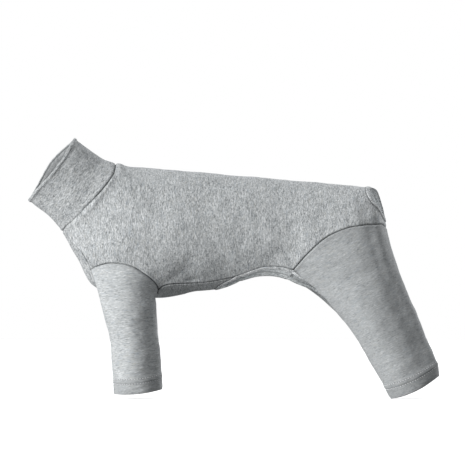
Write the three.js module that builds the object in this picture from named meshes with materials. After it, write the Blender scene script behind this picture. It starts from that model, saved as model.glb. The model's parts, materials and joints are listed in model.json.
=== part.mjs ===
// A dog's four-legged knit jumpsuit with a high collar, filled out as it sits when worn.
// The head end points to -X, the tail end to +X, the dog's left side to -Y, and +Z is up.
// The origin is on the inside of the back, halfway along it. Lengths are in millimetres.

import * as THREE from 'three';

// Trunk
const BACK_LENGTH = 331; // neck seam to tail opening, along the back
const CHEST_DEPTH = 168.5; // back to underside of the chest
const CHEST_WIDTH = 128; // widest part of the chest, side to side
const KEEL = 0.09; // share by which a trunk section widens above its middle and narrows below

// Collar
const COLLAR_LENGTH = 60; // neck seam to folded rim
const COLLAR_WIDTH = 77; // side to side at the rim

// Front sleeves
const FRONT_LEG_LENGTH = 120.5; // underside of the chest to the hem
const FRONT_CUFF_DEPTH = 63.2; // front to rear at the hem
const FRONT_CUFF_WIDTH = 54; // side to side at the hem
const FRONT_STANCE = 43; // midline to the middle of a front hem

// Hind legs
const HIND_LEG_LENGTH = 131.7; // crotch to the hem
const HIND_CUFF_DEPTH = 69.2; // front to rear at the hem
const HIND_CUFF_WIDTH = 56; // side to side at the hem
const HIND_STANCE = 45; // midline to the middle of a hind hem

// Cloth
const FABRIC_THICKNESS = 1.3; // one layer of knit
const COLLAR_LAYERS = 2; // the collar is folded double
const HEM_LAYERS = 2; // the hems are turned up once
const HEM_DEPTH = 18.5; // height of the turned hem
const HEM_STEP = 1.5; // slope between one layer and two
const FOLD_ROUNDNESS = 0.4; // share of the folded thickness by which a fold stands out
const SEAM_GAP = 0.3; // clearance between two pieces that are sewn together
const BINDING_WIDTH = 3.5; // band round the tail and belly openings
const BINDING_THICKNESS = 3;

// Trunk sections from neck to tail, as [top along, top up, underside along, underside up, half width].
// Along is a share of BACK_LENGTH from the neck seam, up of CHEST_DEPTH, half width of CHEST_WIDTH.
const TRUNK = [
  [0, 0.102, -0.208, -0.431, 0.336],
  [0.061, 0.076, -0.157, -0.616, 0.391],
  [0.136, 0.063, -0.093, -0.823, 0.445],
  [0.214, 0.049, 0.02, -0.936, 0.484],
  [0.293, 0.036, 0.175, -0.947, 0.5],
  [0.379, 0.021, 0.316, -0.899, 0.492],
  [0.473, 0.005, 0.446, -0.863, 0.477],
  [0.576, -0.013, 0.576, -0.856, 0.461],
  [0.678, -0.03, 0.709, -0.898, 0.461],
  [0.772, -0.046, 0.843, -0.968, 0.473],
  [0.862, -0.062, 0.969, -0.848, 0.469],
  [0.933, -0.073, 1.039, -0.697, 0.422],
  [0.976, -0.081, 1.072, -0.516, 0.336],
  [1, -0.085, 1.06, -0.327, 0.211],
  [1.028, -0.093, 1.065, -0.215, 0.141],
];
const MID_BACK = 0.5; // where the origin lies, as a share of BACK_LENGTH

// Soft dents and swells of the trunk, as [along, depth, length, reach, sink]. Along and length are
// shares of BACK_LENGTH, depth is the share of the way from back to underside, reach is a share of
// CHEST_DEPTH, and sink of CHEST_WIDTH, outward where it is negative.
const DENTS = [
  [0.045, 0.3, 0.035, 0.3, 0.012], // hollow behind the neck seam
  [0.17, 0.62, 0.06, 0.12, -0.012], // swell over the shoulder
  [0.315, 0.84, 0.045, 0.1, 0.02], // hollow behind the elbow
  [0.63, 0.72, 0.05, 0.14, 0.018], // flank, ahead of the thigh
  [0.86, 0.62, 0.06, 0.2, -0.014], // swell of the thigh
  [0.96, 0.32, 0.03, 0.14, 0.012], // hollow beside the tail
];

// Seams and edges on the trunk. Along is a share of BACK_LENGTH, and depth the share of the way
// from back to underside.
// Neck seam, as [depth, along].
const NECK_SEAM = [
  [0, 0.001],
  [0.045, 0.0095],
  [0.12, 0.019],
  [0.22, 0.0215],
  [0.34, 0.0195],
  [0.58, 0.011],
  [0.96, 0.006],
  [1, 0],
];
// Edge of the cloth round the tail, as [depth, left side along, right side along].
const TAIL_EDGE = [
  [0, 0.99, 0.99],
  [0.06, 0.982, 1.006],
  [0.2, 0.978, 1.011],
  [0.35, 0.983, 1.009],
  [0.52, 0.99, 1.007],
  [0.75, 0.9935, 1.004],
  [1, 0.997, 0.997],
];
const CHEST_SEAM_DEPTH = 0.968; // where the chest seam meets the neck seam
// The rest are rows of [along, depth], from the head end towards the tail.
const CHEST_SEAM = [
  [0.038, 0.956],
  [0.07, 0.924],
  [0.098, 0.921],
  [0.118, 0.93],
];
const ARMHOLE_OUTER = [
  [0.118, 0.93],
  [0.124, 0.893],
  [0.136, 0.846],
  [0.151, 0.804],
  [0.174, 0.769],
  [0.2, 0.756],
  [0.221, 0.764],
  [0.24, 0.791],
  [0.2575, 0.828],
  [0.272, 0.869],
  [0.281, 0.906],
  [0.2845, 0.932],
];
const ARMHOLE_INNER = [
  [0.118, 0.93],
  [0.1315, 0.953],
  [0.155, 0.971],
  [0.187, 0.98],
  [0.219, 0.984],
  [0.25, 0.985],
  [0.274, 0.981],
  [0.284, 0.963],
  [0.2845, 0.932],
];
const BELLY_SEAM = [
  [0.2845, 0.932],
  [0.295, 0.905],
  [0.31, 0.9],
  [0.338, 0.907],
  [0.387, 0.922],
  [0.444, 0.92],
];
const LEFT_BELLY_EDGE = [
  [0.5, 0.899],
  [0.524, 0.88],
  [0.55, 0.854],
  [0.58, 0.827],
  [0.617, 0.814],
  [0.646, 0.81],
  [0.672, 0.815],
];
const RIGHT_BELLY_EDGE = [
  [0.5, 0.936],
  [0.528, 0.915],
  [0.55, 0.897],
  [0.58, 0.881],
  [0.617, 0.874],
  [0.645, 0.879],
  [0.663, 0.886],
];
const LEFT_LEG_EDGE = [
  [0.698, 0.842],
  [0.729, 0.861],
  [0.7455, 0.905],
  [0.759, 0.952],
  [0.779, 0.992],
];
const RIGHT_LEG_EDGE = [
  [0.687, 0.905],
  [0.715, 0.912],
  [0.7405, 0.924],
  [0.758, 0.947],
  [0.779, 0.992],
];
const CROTCH = [0.782, 1];
const HIND_SEAM = [
  [0.692, 0.737],
  [0.719, 0.635],
  [0.7635, 0.511],
  [0.8, 0.456],
  [0.846, 0.433],
  [0.896, 0.441],
  [0.938, 0.494],
  [0.972, 0.63],
  [0.987, 0.87],
];
const SEAT = [0.9905, 1]; // where the two hind seams meet under the tail
const BELLY_NOTCH = 22; // how far the rear edge of the belly panel is scooped out at the midline

// Collar rings from seam to rim, as [top ahead, top up, underside ahead, underside up, half width].
// Ahead and up are shares of COLLAR_LENGTH from the neck seam, half width of COLLAR_WIDTH.
const COLLAR = [
  [0.245, 0.08, 0.173, 0.221, 0.532],
  [0.444, 0.21, 0.358, 0.39, 0.512],
  [0.66, 0.355, 0.545, 0.53, 0.502],
  [0.884, 0.522, 0.724, 0.663, 0.5],
];
// How far the rim stands ahead of its flat plane, as [depth, left side, right side], in shares of
// COLLAR_LENGTH.
const RIM_LEAN = [
  [0, 0, 0],
  [0.2, -0.06, 0.08],
  [0.4, -0.065, 0.115],
  [0.6, -0.06, 0.09],
  [0.8, -0.022, 0.04],
  [1, 0, 0],
];

// Leg rings from the first full ring to the hem, as [drop, shift, depth, tilt, width, spread, sag].
// Drop and rearward shift are shares of the leg's length, depth of its cuff depth, width and sag of
// its cuff width, spread of its stance, and tilt is in degrees, rear end up.
const FRONT_RINGS = [
  [0.159, 0, 1.09, -8.8, 1.05, 0.95, 0],
  [0.276, 0.016, 1.04, -4.1, 1.02, 0.97, 0],
  [0.408, 0.036, 1.004, -1.5, 1, 0.98, 0],
  [0.725, 0.069, 1.008, 1.5, 1, 1, 0],
  [1, 0.084, 1, 5.6, 1, 1, 0.05],
];
const FRONT_LEG_ALONG = 0.059; // middle of the armhole, as a share of BACK_LENGTH
const FRONT_LEG_UP = -0.938; // underside of the chest there, as a share of CHEST_DEPTH
const HIND_RINGS = [
  [0.171, 0.111, 1.328, 29.3, 1.14, 0.9, 0],
  [0.388, 0.232, 1.207, 27.4, 1.07, 0.95, 0],
  [0.652, 0.365, 1.137, 28.6, 1.02, 0.98, 0],
  [0.89, 0.48, 1.09, 23, 1, 1, 0.02],
  [1, 0.518, 1, 25, 1, 1, 0.08],
];
const HIND_LEG_ALONG = 0.969; // crotch, as a share of BACK_LENGTH
const HIND_LEG_UP = -0.84; // crotch, as a share of CHEST_DEPTH

// How finely each line is cut
const CHEST_SEAM_STEPS = 6;
const ARMHOLE_OUTER_STEPS = 12;
const ARMHOLE_INNER_STEPS = 10;
const BELLY_SEAM_STEPS = 8;
const BELLY_EDGE_STEPS = 6;
const HIND_SEAM_STEPS = 13;
const CENTRE_BACK_STEPS = 8;
const LEG_EDGE_STEPS = 7;
const BODY_STEPS = 18; // round the body panel
const BELLY_STEPS = 8; // across the belly panel
const BELLY_EVENNESS = 0.8; // how evenly the belly panel's rows are spread at the midline
const BELLY_CORNER_ROW = CHEST_SEAM_STEPS + ARMHOLE_OUTER_STEPS + BELLY_SEAM_STEPS;
// Rows of the tubes, counted in rings from the seam.
const FRONT_ROWS = [0, 0.15, 0.4, 0.7, 1, 2, 3];
const HIND_ROWS = [0, 0.12, 0.32, 0.55, 0.78, 1, 1.5, 2, 3];
const COLLAR_ROWS = [0, 0.5, 1, 2, 3, 4];

// How far beyond a seam the trunk sets the direction in which a tube leaves it
const LEG_LEAD = 0.2; // share of the way from the middle of the hole
const COLLAR_LEAD = 0.04; // share of BACK_LENGTH

// Section of a binding, as [across, above], in shares of half its width and thickness.
const BINDING_SECTION = [
  [1, -0.5],
  [1, 0.5],
  [0.5, 1],
  [-0.5, 1],
  [-1, 0.5],
  [-1, -0.5],
  [-0.5, -1],
  [0.5, -1],
];

const CLOTH_LOOKS = {
  neck_collar: { color: 0x9fa2a5, roughness: 0.92, metalness: 0 },
  body_panel: { color: 0xa6aaab, roughness: 0.92, metalness: 0 },
  chest_belly_panel: { color: 0x85898b, roughness: 0.92, metalness: 0 },
  left_front_sleeve: { color: 0xb0b3b4, roughness: 0.92, metalness: 0 },
  right_front_sleeve: { color: 0xb0b3b4, roughness: 0.92, metalness: 0 },
  left_hind_leg: { color: 0x9ea2a3, roughness: 0.92, metalness: 0 },
  right_hind_leg: { color: 0x9ea2a3, roughness: 0.92, metalness: 0 },
  tail_opening_binding: { color: 0x8d9193, roughness: 0.92, metalness: 0 },
  belly_opening_binding: { color: 0x7d8183, roughness: 0.92, metalness: 0 },
};

const LEFT = 1;
const RIGHT = -1;
const FULL_TURN = 2 * Math.PI;

const mix = THREE.MathUtils.lerp;
const radians = THREE.MathUtils.degToRad;

// Slope of a table's column at one row, over the table's first column.
function slopeAt(rows, row, column) {
  const rise = (from) => (rows[from + 1][column] - rows[from][column]) / (rows[from + 1][0] - rows[from][0]);
  if (row === 0) return rise(0);
  if (row === rows.length - 1) return rise(row - 1);
  const before = rows[row][0] - rows[row - 1][0];
  const after = rows[row + 1][0] - rows[row][0];
  return (rise(row - 1) * after + rise(row) * before) / (before + after);
}

// Reads every column of a table at one place along its first column, on a smooth curve.
function readTable(rows, place) {
  let row = 0;
  while (row < rows.length - 2 && place > rows[row + 1][0]) row += 1;
  const span = rows[row + 1][0] - rows[row][0];
  const t = (place - rows[row][0]) / span;
  return rows[row].map((value, column) => {
    const next = rows[row + 1][column];
    const leave = slopeAt(rows, row, column) * span;
    const arrive = slopeAt(rows, row + 1, column) * span;
    const bend = (1 - t) * (leave - (next - value)) + t * (next - value - arrive);
    return mix(value, next, t) + t * (1 - t) * bend;
  });
}

// Depth share from back to underside, and the angle round the trunk that lies there.
const depthAt = (angle) => (1 - Math.cos(angle)) / 2;
const angleAt = (depth) => Math.acos(1 - 2 * depth);

// Inward shift of the trunk's skin in its soft dents.
function dentAt(along, angle) {
  const depth = depthAt(angle);
  return DENTS.reduce((sum, [place, level, length, reach, sink]) => {
    const ahead = (along - place) / length;
    const above = (depth - level) / reach;
    return sum + sink * CHEST_WIDTH * Math.exp(-ahead * ahead - above * above);
  }, 0);
}

// A point of the trunk's outer skin. The angle is 0 on the back, grows over the left side,
// and is half a turn on the underside.
function trunkPoint({ along, angle }) {
  const [, topUp, lowAlong, lowUp, halfWidth] = readTable(TRUNK, along);
  const top = new THREE.Vector3((along - MID_BACK) * BACK_LENGTH, 0, topUp * CHEST_DEPTH + FABRIC_THICKNESS);
  const low = new THREE.Vector3((lowAlong - MID_BACK) * BACK_LENGTH, 0, lowUp * CHEST_DEPTH + FABRIC_THICKNESS);
  const point = top.clone().lerp(low, depthAt(angle));
  point.y = -halfWidth * CHEST_WIDTH * Math.sin(angle) * (1 + KEEL * Math.cos(angle));
  const inward = top.lerp(low, 0.5).sub(point).normalize();
  return point.addScaledVector(inward, dentAt(along, angle));
}

// A line on the trunk through rows of [along, depth], cut into equal steps.
function trunkLine(rows, steps) {
  const girth = CHEST_WIDTH / 2;
  const knots = rows.map(([along, depth]) => new THREE.Vector3(along * BACK_LENGTH, angleAt(depth) * girth, 0));
  const curve = new THREE.CatmullRomCurve3(knots, false, 'centripetal');
  const fine = curve.getPoints(steps * 12).map((knot) => ({ along: knot.x / BACK_LENGTH, angle: knot.y / girth }));
  return evenSteps(fine, steps);
}

// Picks places at equal distances along a finely cut line on the trunk.
function evenSteps(fine, steps) {
  const distances = distancesAlong(fine.map(trunkPoint));
  const total = distances[distances.length - 1];
  const places = [];
  for (let step = 0; step <= steps; step += 1) {
    const target = (total * step) / steps;
    let index = 0;
    while (index < fine.length - 2 && distances[index + 1] < target) index += 1;
    const t = (target - distances[index]) / (distances[index + 1] - distances[index]);
    places.push({
      along: mix(fine[index].along, fine[index + 1].along, t),
      angle: mix(fine[index].angle, fine[index + 1].angle, t),
    });
  }
  return places;
}

// Distance from the first point to each point, along the line that they make.
function distancesAlong(points) {
  const distances = [0];
  for (let index = 1; index < points.length; index += 1) {
    distances.push(distances[index - 1] + points[index].distanceTo(points[index - 1]));
  }
  return distances;
}

// Joins lines end to start, with each shared place kept once.
const chain = (...lines) => lines.reduce((whole, line) => [...whole, ...line.slice(1)]);
const reversed = (line) => [...line].reverse();

// Seams and edges of one side of the trunk.
function sideLines(bellyEdge, legEdge, tailColumn) {
  const corner = bellyEdge[0];
  const flank = bellyEdge[bellyEdge.length - 1];
  const chestStart = [readTable(NECK_SEAM, CHEST_SEAM_DEPTH)[1], CHEST_SEAM_DEPTH];
  const chestSeam = trunkLine([chestStart, ...CHEST_SEAM], CHEST_SEAM_STEPS);
  const bellySeam = trunkLine([...BELLY_SEAM, corner], BELLY_SEAM_STEPS);
  const armholeOuter = trunkLine(ARMHOLE_OUTER, ARMHOLE_OUTER_STEPS);
  const armholeInner = trunkLine(ARMHOLE_INNER, ARMHOLE_INNER_STEPS);
  const openingEdge = trunkLine(bellyEdge, BELLY_EDGE_STEPS);
  const hindSeam = trunkLine([flank, ...HIND_SEAM, SEAT], HIND_SEAM_STEPS);
  const centreBack = trunkLine([CROTCH, SEAT], CENTRE_BACK_STEPS);
  const legOpening = trunkLine([flank, ...legEdge, CROTCH], LEG_EDGE_STEPS);
  const tailEnd = { along: readTable(TAIL_EDGE, 1)[tailColumn], angle: Math.PI };
  return {
    tailColumn,
    bodyBorder: [...chain(chestSeam, armholeOuter, bellySeam, openingEdge, hindSeam), tailEnd],
    bellyBorder: chain(chestSeam, armholeInner, bellySeam),
    armhole: chain(armholeOuter, reversed(armholeInner)).slice(0, -1),
    legHole: chain(hindSeam, reversed(centreBack), reversed(legOpening)).slice(0, -1),
  };
}

// The same place on the other side of the trunk.
const mirrored = ({ along, angle }) => ({ along, angle: -angle });
const onSide = (side, place) => (side === LEFT ? place : mirrored(place));

const sides = new Map([
  [LEFT, sideLines(LEFT_BELLY_EDGE, LEFT_LEG_EDGE, 1)],
  [RIGHT, sideLines(RIGHT_BELLY_EDGE, RIGHT_LEG_EDGE, 2)],
]);

const neckAlong = (angle) => readTable(NECK_SEAM, depthAt(angle))[1];
const tailAlong = (side, angle) => readTable(TAIL_EDGE, depthAt(angle))[sides.get(side).tailColumn];

// Body panel: from one lower border over the back to the other, for each step from neck to tail.
function bodyPlaces() {
  const left = sides.get(LEFT).bodyBorder;
  const right = sides.get(RIGHT).bodyBorder;
  const distances = distancesAlong(left.map(trunkPoint));
  const last = left.length - 1;
  const topFirst = neckAlong(0);
  const topLast = tailAlong(LEFT, 0);
  const topLag = left[last].along - topLast;
  return left.map((_, row) => {
    const share = distances[row] / distances[last];
    const top = mix(mix(topFirst, topLast, share), left[row].along - topLag * share, share ** 2);
    const columns = [];
    for (let step = 0; step <= BODY_STEPS; step += 1) {
      const across = 1 - (2 * step) / BODY_STEPS;
      const side = across >= 0 ? LEFT : RIGHT;
      const borders = side === LEFT ? left : right;
      const angle = across * borders[row].angle;
      const straight = (at, from) => mix(from, borders[at].along, across * across);
      const endAngle = Math.abs(across) * Math.PI;
      const firstAngle = Math.abs(across) * borders[0].angle;
      const atNeck = neckAlong(firstAngle) - straight(0, topFirst);
      const atTail = tailAlong(side, endAngle) - straight(last, topLast);
      const along = straight(row, top);
      columns.push({ along: along + atNeck * (1 - share) ** 8 + atTail * share ** 8, angle });
    }
    return columns;
  });
}

// Belly panel: from the left border under the belly to the right one, for each step from neck to opening.
function bellyPlaces() {
  const left = sides.get(LEFT).bellyBorder;
  const right = sides.get(RIGHT).bellyBorder;
  const distances = distancesAlong(left.map(trunkPoint));
  const last = left.length - 1;
  return left.map((_, row) => {
    const share = distances[row] / distances[last];
    const columns = [];
    for (let step = 0; step <= BELLY_STEPS; step += 1) {
      const across = step / BELLY_STEPS;
      const middle = 4 * across * (1 - across);
      const angleOf = (at) => mix(left[at].angle, FULL_TURN - right[at].angle, across);
      const straight = (at) => mix(left[at].along, right[at].along, across);
      const even = mix(straight(0), straight(last), share);
      const atNeck = neckAlong(angleOf(0)) - straight(0);
      const notch = (BELLY_NOTCH / BACK_LENGTH) * middle;
      const along = mix(straight(row), even, middle * BELLY_EVENNESS);
      columns.push({ along: along + atNeck * (1 - share) ** 8 - notch * share ** 6, angle: angleOf(row) });
    }
    return columns;
  });
}

// A tube of cloth from a hole in the trunk through a list of rings. Each ring gives a point for an
// angle round it. Rows are counted in rings, with 0 at the hole.
function tubePoints(hole, beyond, rings, angles, rows) {
  const curves = hole.map((place, index) => {
    const points = [trunkPoint(beyond[index]), trunkPoint(place), ...rings.map((ring) => ring(angles[index]))];
    return new THREE.CatmullRomCurve3(points, false, 'centripetal');
  });
  return rows.map((row) => curves.map((curve) => curve.getPoint((1 + row) / (rings.length + 1))));
}

// Places just outside a hole in the trunk, away from its middle.
function placesBeyond(hole, share) {
  const along = hole.reduce((sum, place) => sum + place.along, 0) / hole.length;
  const angle = hole.reduce((sum, place) => sum + place.angle, 0) / hole.length;
  return hole.map((place) => ({
    along: mix(place.along, along, -share),
    angle: mix(place.angle, angle, -share),
  }));
}

// One ring round a leg. The angle is 0 at the rear, a quarter turn on the outer side and half a turn
// at the front.
function legRing(side, leg, [drop, shift, depth, tilt, width, spread, sag]) {
  const x = (leg.along - MID_BACK) * BACK_LENGTH + shift * leg.length;
  const y = -side * spread * leg.stance;
  const z = leg.up * CHEST_DEPTH + FABRIC_THICKNESS - drop * leg.length;
  const slope = radians(tilt);
  return (angle) => {
    const back = (Math.cos(angle) * depth * leg.cuffDepth) / 2;
    const out = (Math.sin(angle) * width * leg.cuffWidth) / 2;
    const low = Math.sin(angle) ** 2 * sag * leg.cuffWidth;
    return new THREE.Vector3(x + back * Math.cos(slope), y - side * out, z + back * Math.sin(slope) - low);
  };
}

const FRONT_LEG = {
  rings: FRONT_RINGS,
  along: FRONT_LEG_ALONG,
  up: FRONT_LEG_UP,
  length: FRONT_LEG_LENGTH,
  cuffDepth: FRONT_CUFF_DEPTH,
  cuffWidth: FRONT_CUFF_WIDTH,
  stance: FRONT_STANCE,
};
const HIND_LEG = {
  rings: HIND_RINGS,
  along: HIND_LEG_ALONG,
  up: HIND_LEG_UP,
  length: HIND_LEG_LENGTH,
  cuffDepth: HIND_CUFF_DEPTH,
  cuffWidth: HIND_CUFF_WIDTH,
  stance: HIND_STANCE,
};

// Angles round a leg for the points of its hole: evenly spread between the given [index, degrees] marks.
function anglesBetween(marks) {
  const angles = [];
  for (let index = 0; index < marks[marks.length - 1][0]; index += 1) {
    const next = marks.findIndex(([at]) => at > index);
    const [from, start] = marks[next - 1];
    const [to, end] = marks[next];
    angles.push(radians(mix(start, end, (index - from) / (to - from))));
  }
  return angles;
}

const FRONT_ANGLES = anglesBetween([
  [0, 170],
  [ARMHOLE_OUTER_STEPS, 10],
  [ARMHOLE_OUTER_STEPS + ARMHOLE_INNER_STEPS, -190],
]);
const HIND_ANGLES = anglesBetween([
  [0, 165],
  [HIND_SEAM_STEPS, 5],
  [HIND_SEAM_STEPS + CENTRE_BACK_STEPS, -125],
  [HIND_SEAM_STEPS + CENTRE_BACK_STEPS + LEG_EDGE_STEPS, -195],
]);

// Rows of a leg from its seam to its hem, and the number of cloth layers on each.
function legRows(leg, upperRows) {
  const last = leg.rings.length;
  const ends = leg.rings.slice(-2).map((ring) => legRing(LEFT, leg, ring)(Math.PI));
  const reach = ends[0].distanceTo(ends[1]);
  const before = leg.rings.slice(-3, -1).map((ring) => legRing(LEFT, leg, ring)(Math.PI));
  const reachBefore = before[0].distanceTo(before[1]);
  const rowAt = (height) => (height <= reach ? last - height / reach : last - 1 - (height - reach) / reachBefore);
  const hem = rowAt(HEM_DEPTH);
  const single = rowAt(HEM_DEPTH + HEM_STEP);
  const upper = upperRows.filter((row) => row < single - 0.15);
  const rows = [...upper, single, hem, rowAt(HEM_DEPTH / 2), last];
  return { rows, layers: rows.map((row) => (row < hem ? 1 : HEM_LAYERS)) };
}

// One leg or sleeve, from its hole in the trunk to its hem.
function legSheet(side, shape, hole, angles, upperRows, isSewn) {
  const { rows, layers } = legRows(shape, upperRows);
  const places = hole.map((place) => onSide(side, place));
  const beyond = placesBeyond(hole, LEG_LEAD).map((place) => onSide(side, place));
  const rings = shape.rings.map((ring) => legRing(side, shape, ring));
  return {
    points: tubePoints(places, beyond, rings, angles, rows),
    layers,
    closed: true,
    facing: side,
    isStartSewn: isSewn,
  };
}

const isAlwaysSewn = () => true;
const isHindSewn = (index) => index <= HIND_SEAM_STEPS + CENTRE_BACK_STEPS;
const sleeveSheet = (side) => (
  legSheet(side, FRONT_LEG, sides.get(side).armhole, FRONT_ANGLES, FRONT_ROWS, isAlwaysSewn)
);
const hindSheet = (side) => (
  legSheet(side, HIND_LEG, sides.get(side).legHole, HIND_ANGLES, HIND_ROWS, isHindSewn)
);

// The collar follows the whole neck seam, and its rim leans as the table says.
function collarSheet(neckSeam) {
  const neckTop = trunkPoint({ along: neckAlong(0), angle: 0 });
  const neckLow = trunkPoint({ along: neckAlong(Math.PI), angle: Math.PI });
  const rim = COLLAR[COLLAR.length - 1];
  const ahead = new THREE.Vector3(-(rim[0] + rim[2]), 0, rim[1] + rim[3]).normalize();
  const rings = COLLAR.map(([topAhead, topUp, lowAhead, lowUp, halfWidth], index) => {
    const share = (index + 1) / COLLAR.length;
    const top = neckTop.clone().add(new THREE.Vector3(-topAhead, 0, topUp).multiplyScalar(COLLAR_LENGTH));
    const low = neckLow.clone().add(new THREE.Vector3(-lowAhead, 0, lowUp).multiplyScalar(COLLAR_LENGTH));
    return (angle) => {
      const depth = depthAt(angle);
      const point = top.clone().lerp(low, depth);
      point.y = -halfWidth * COLLAR_WIDTH * Math.sin(angle);
      const [, leftLean, rightLean] = readTable(RIM_LEAN, depth);
      const lean = mix(rightLean, leftLean, (1 + Math.sin(angle)) / 2);
      return point.addScaledVector(ahead, lean * COLLAR_LENGTH * share * share);
    };
  });
  const beyond = neckSeam.map(({ along, angle }) => ({ along: along + COLLAR_LEAD, angle }));
  return {
    points: tubePoints(neckSeam, beyond, rings, neckSeam.map(({ angle }) => angle), COLLAR_ROWS),
    layers: COLLAR_ROWS.map(() => COLLAR_LAYERS),
    closed: true,
    facing: -1,
    isStartSewn: isAlwaysSewn,
  };
}

function panelSheet(places, facing, isSideSewn) {
  return {
    points: places.map((row) => row.map(trunkPoint)),
    layers: places.map(() => 1),
    closed: false,
    facing,
    isStartSewn: isAlwaysSewn,
    isSideSewn,
  };
}

// Outward direction of the cloth at each point, shared where sheets meet.
function sharedNormals(sheetList) {
  const sums = new Map();
  const keyOf = (point) => point.toArray().map((value) => Math.round(value * 1000)).join();
  sheetList.forEach(({ points, closed, facing }) => {
    const columns = points[0].length;
    for (let row = 0; row < points.length - 1; row += 1) {
      for (let column = 0; column < columns - (closed ? 0 : 1); column += 1) {
        const next = (column + 1) % columns;
        const corners = [points[row][column], points[row + 1][column], points[row + 1][next], points[row][next]];
        const diagonal = corners[3].clone().sub(corners[1]);
        const normal = corners[2].clone().sub(corners[0]).cross(diagonal).multiplyScalar(facing);
        corners.forEach((corner) => {
          const key = keyOf(corner);
          sums.set(key, (sums.get(key) ?? new THREE.Vector3()).add(normal));
        });
      }
    }
  });
  sums.forEach((sum) => sum.normalize());
  return (point) => sums.get(keyOf(point));
}

// Half of the seam clearance, from a sewn edge into its own sheet.
function seamOffset(point, inner, before, after) {
  const edge = after.clone().sub(before).normalize();
  const into = inner.clone().sub(point);
  return into.addScaledVector(edge, -into.dot(edge)).setLength(SEAM_GAP / 2);
}

// Moves the sewn edges of a sheet apart from their neighbours.
function seamOffsets({ points, closed, isStartSewn, isSideSewn }) {
  const lastRow = points.length - 1;
  const lastColumn = points[0].length - 1;
  const offsets = points.map((row) => row.map(() => new THREE.Vector3()));
  const neighbour = (column, step) => (
    closed ? (column + step + lastColumn + 1) % (lastColumn + 1) : THREE.MathUtils.clamp(column + step, 0, lastColumn)
  );
  points[0].forEach((point, column) => {
    if (!isStartSewn(column)) return;
    const before = points[0][neighbour(column, -1)];
    const after = points[0][neighbour(column, 1)];
    offsets[0][column].add(seamOffset(point, points[1][column], before, after));
  });
  if (closed) return offsets;
  points.forEach((row, index) => {
    if (!isSideSewn(index)) return;
    const before = points[Math.max(index - 1, 0)];
    const after = points[Math.min(index + 1, lastRow)];
    [[0, 1], [lastColumn, lastColumn - 1]].forEach(([side, inner]) => {
      offsets[index][side].add(seamOffset(row[side], row[inner], before[side], after[side]));
    });
  });
  return offsets;
}

// Collects the corners and triangles of one closed solid.
class Solid {
  constructor(facing) {
    this.facing = facing;
    this.corners = [];
    this.triangles = [];
  }

  addRow(points) {
    const first = this.corners.length;
    this.corners.push(...points);
    return points.map((_, index) => first + index);
  }

  addQuad(a, b, c, d) {
    const [second, last] = this.facing > 0 ? [b, d] : [d, b];
    this.triangles.push(a, second, c, a, c, last);
  }

  // Faces between two rows of corners, which run the same way.
  addBand(upper, lower, closed) {
    const steps = upper.length - (closed ? 0 : 1);
    for (let step = 0; step < steps; step += 1) {
      const next = (step + 1) % upper.length;
      this.addQuad(upper[step], lower[step], lower[next], upper[next]);
    }
  }

  toMesh(name, material) {
    const geometry = new THREE.BufferGeometry();
    const positions = this.corners.flatMap((corner) => corner.toArray());
    geometry.setAttribute('position', new THREE.Float32BufferAttribute(positions, 3));
    geometry.setIndex(this.triangles);
    geometry.computeVertexNormals();
    const mesh = new THREE.Mesh(geometry, material);
    mesh.name = name;
    return mesh;
  }
}

// A sheet of cloth with its thickness inside the given points, and a rounded fold at a tube's free end.
function clothSolid(sheet, normalAt) {
  const { points, layers, closed, facing } = sheet;
  const offsets = seamOffsets(sheet);
  const solid = new Solid(facing);
  const lastRow = points.length - 1;
  const outer = points.map((row, index) => row.map((point, column) => point.clone().add(offsets[index][column])));
  const inner = points.map((row, index) => row.map((point, column) => (
    outer[index][column].clone().addScaledVector(normalAt(point), -layers[index] * FABRIC_THICKNESS)
  )));
  const outerRows = outer.map((row) => solid.addRow(row));
  const innerRows = inner.map((row) => solid.addRow(row));
  for (let row = 0; row < lastRow; row += 1) {
    solid.addBand(outerRows[row], outerRows[row + 1], closed);
    solid.addBand(innerRows[row + 1], innerRows[row], closed);
  }
  solid.addBand(innerRows[0], outerRows[0], closed);
  if (closed) {
    const fold = points[lastRow].map((point, column) => {
      const out = point.clone().sub(points[lastRow - 1][column]).normalize();
      const middle = outer[lastRow][column].clone().lerp(inner[lastRow][column], 0.5);
      return middle.addScaledVector(out, FOLD_ROUNDNESS * layers[lastRow] * FABRIC_THICKNESS);
    });
    const foldRow = solid.addRow(fold);
    solid.addBand(outerRows[lastRow], foldRow, closed);
    solid.addBand(foldRow, innerRows[lastRow], closed);
    return solid;
  }
  solid.addBand(outerRows[lastRow], innerRows[lastRow], closed);
  const lastColumn = points[0].length - 1;
  const columnOf = (rows, column) => rows.map((row) => row[column]);
  solid.addBand(columnOf(outerRows, 0), columnOf(innerRows, 0), false);
  solid.addBand(columnOf(innerRows, lastColumn), columnOf(outerRows, lastColumn), false);
  return solid;
}

// A band of cloth bound round an opening, just outside its edge.
function bindingSolid(edge, normalAt) {
  const solid = new Solid(1);
  const rows = edge.map((point, index) => {
    const before = edge[(index + edge.length - 1) % edge.length];
    const after = edge[(index + 1) % edge.length];
    const normal = normalAt(point);
    const out = after.clone().sub(before).cross(normal).normalize();
    const middle = point.clone()
      .addScaledVector(out, SEAM_GAP + BINDING_WIDTH / 2)
      .addScaledVector(normal, -FABRIC_THICKNESS / 2);
    return solid.addRow(BINDING_SECTION.map(([across, above]) => (
      middle.clone()
        .addScaledVector(out, (across * BINDING_WIDTH) / 2)
        .addScaledVector(normal, (above * BINDING_THICKNESS) / 2)
    )));
  });
  rows.forEach((row, index) => solid.addBand(row, rows[(index + 1) % rows.length], true));
  return solid;
}

const bodyGrid = bodyPlaces();
const bellyGrid = bellyPlaces();
const neckLine = [...bodyGrid[0].slice(0, -1), ...reversed(bellyGrid[0]).slice(0, -1)];
const isBodySewn = (row) => row <= BELLY_CORNER_ROW || row >= BELLY_CORNER_ROW + BELLY_EDGE_STEPS;

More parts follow.
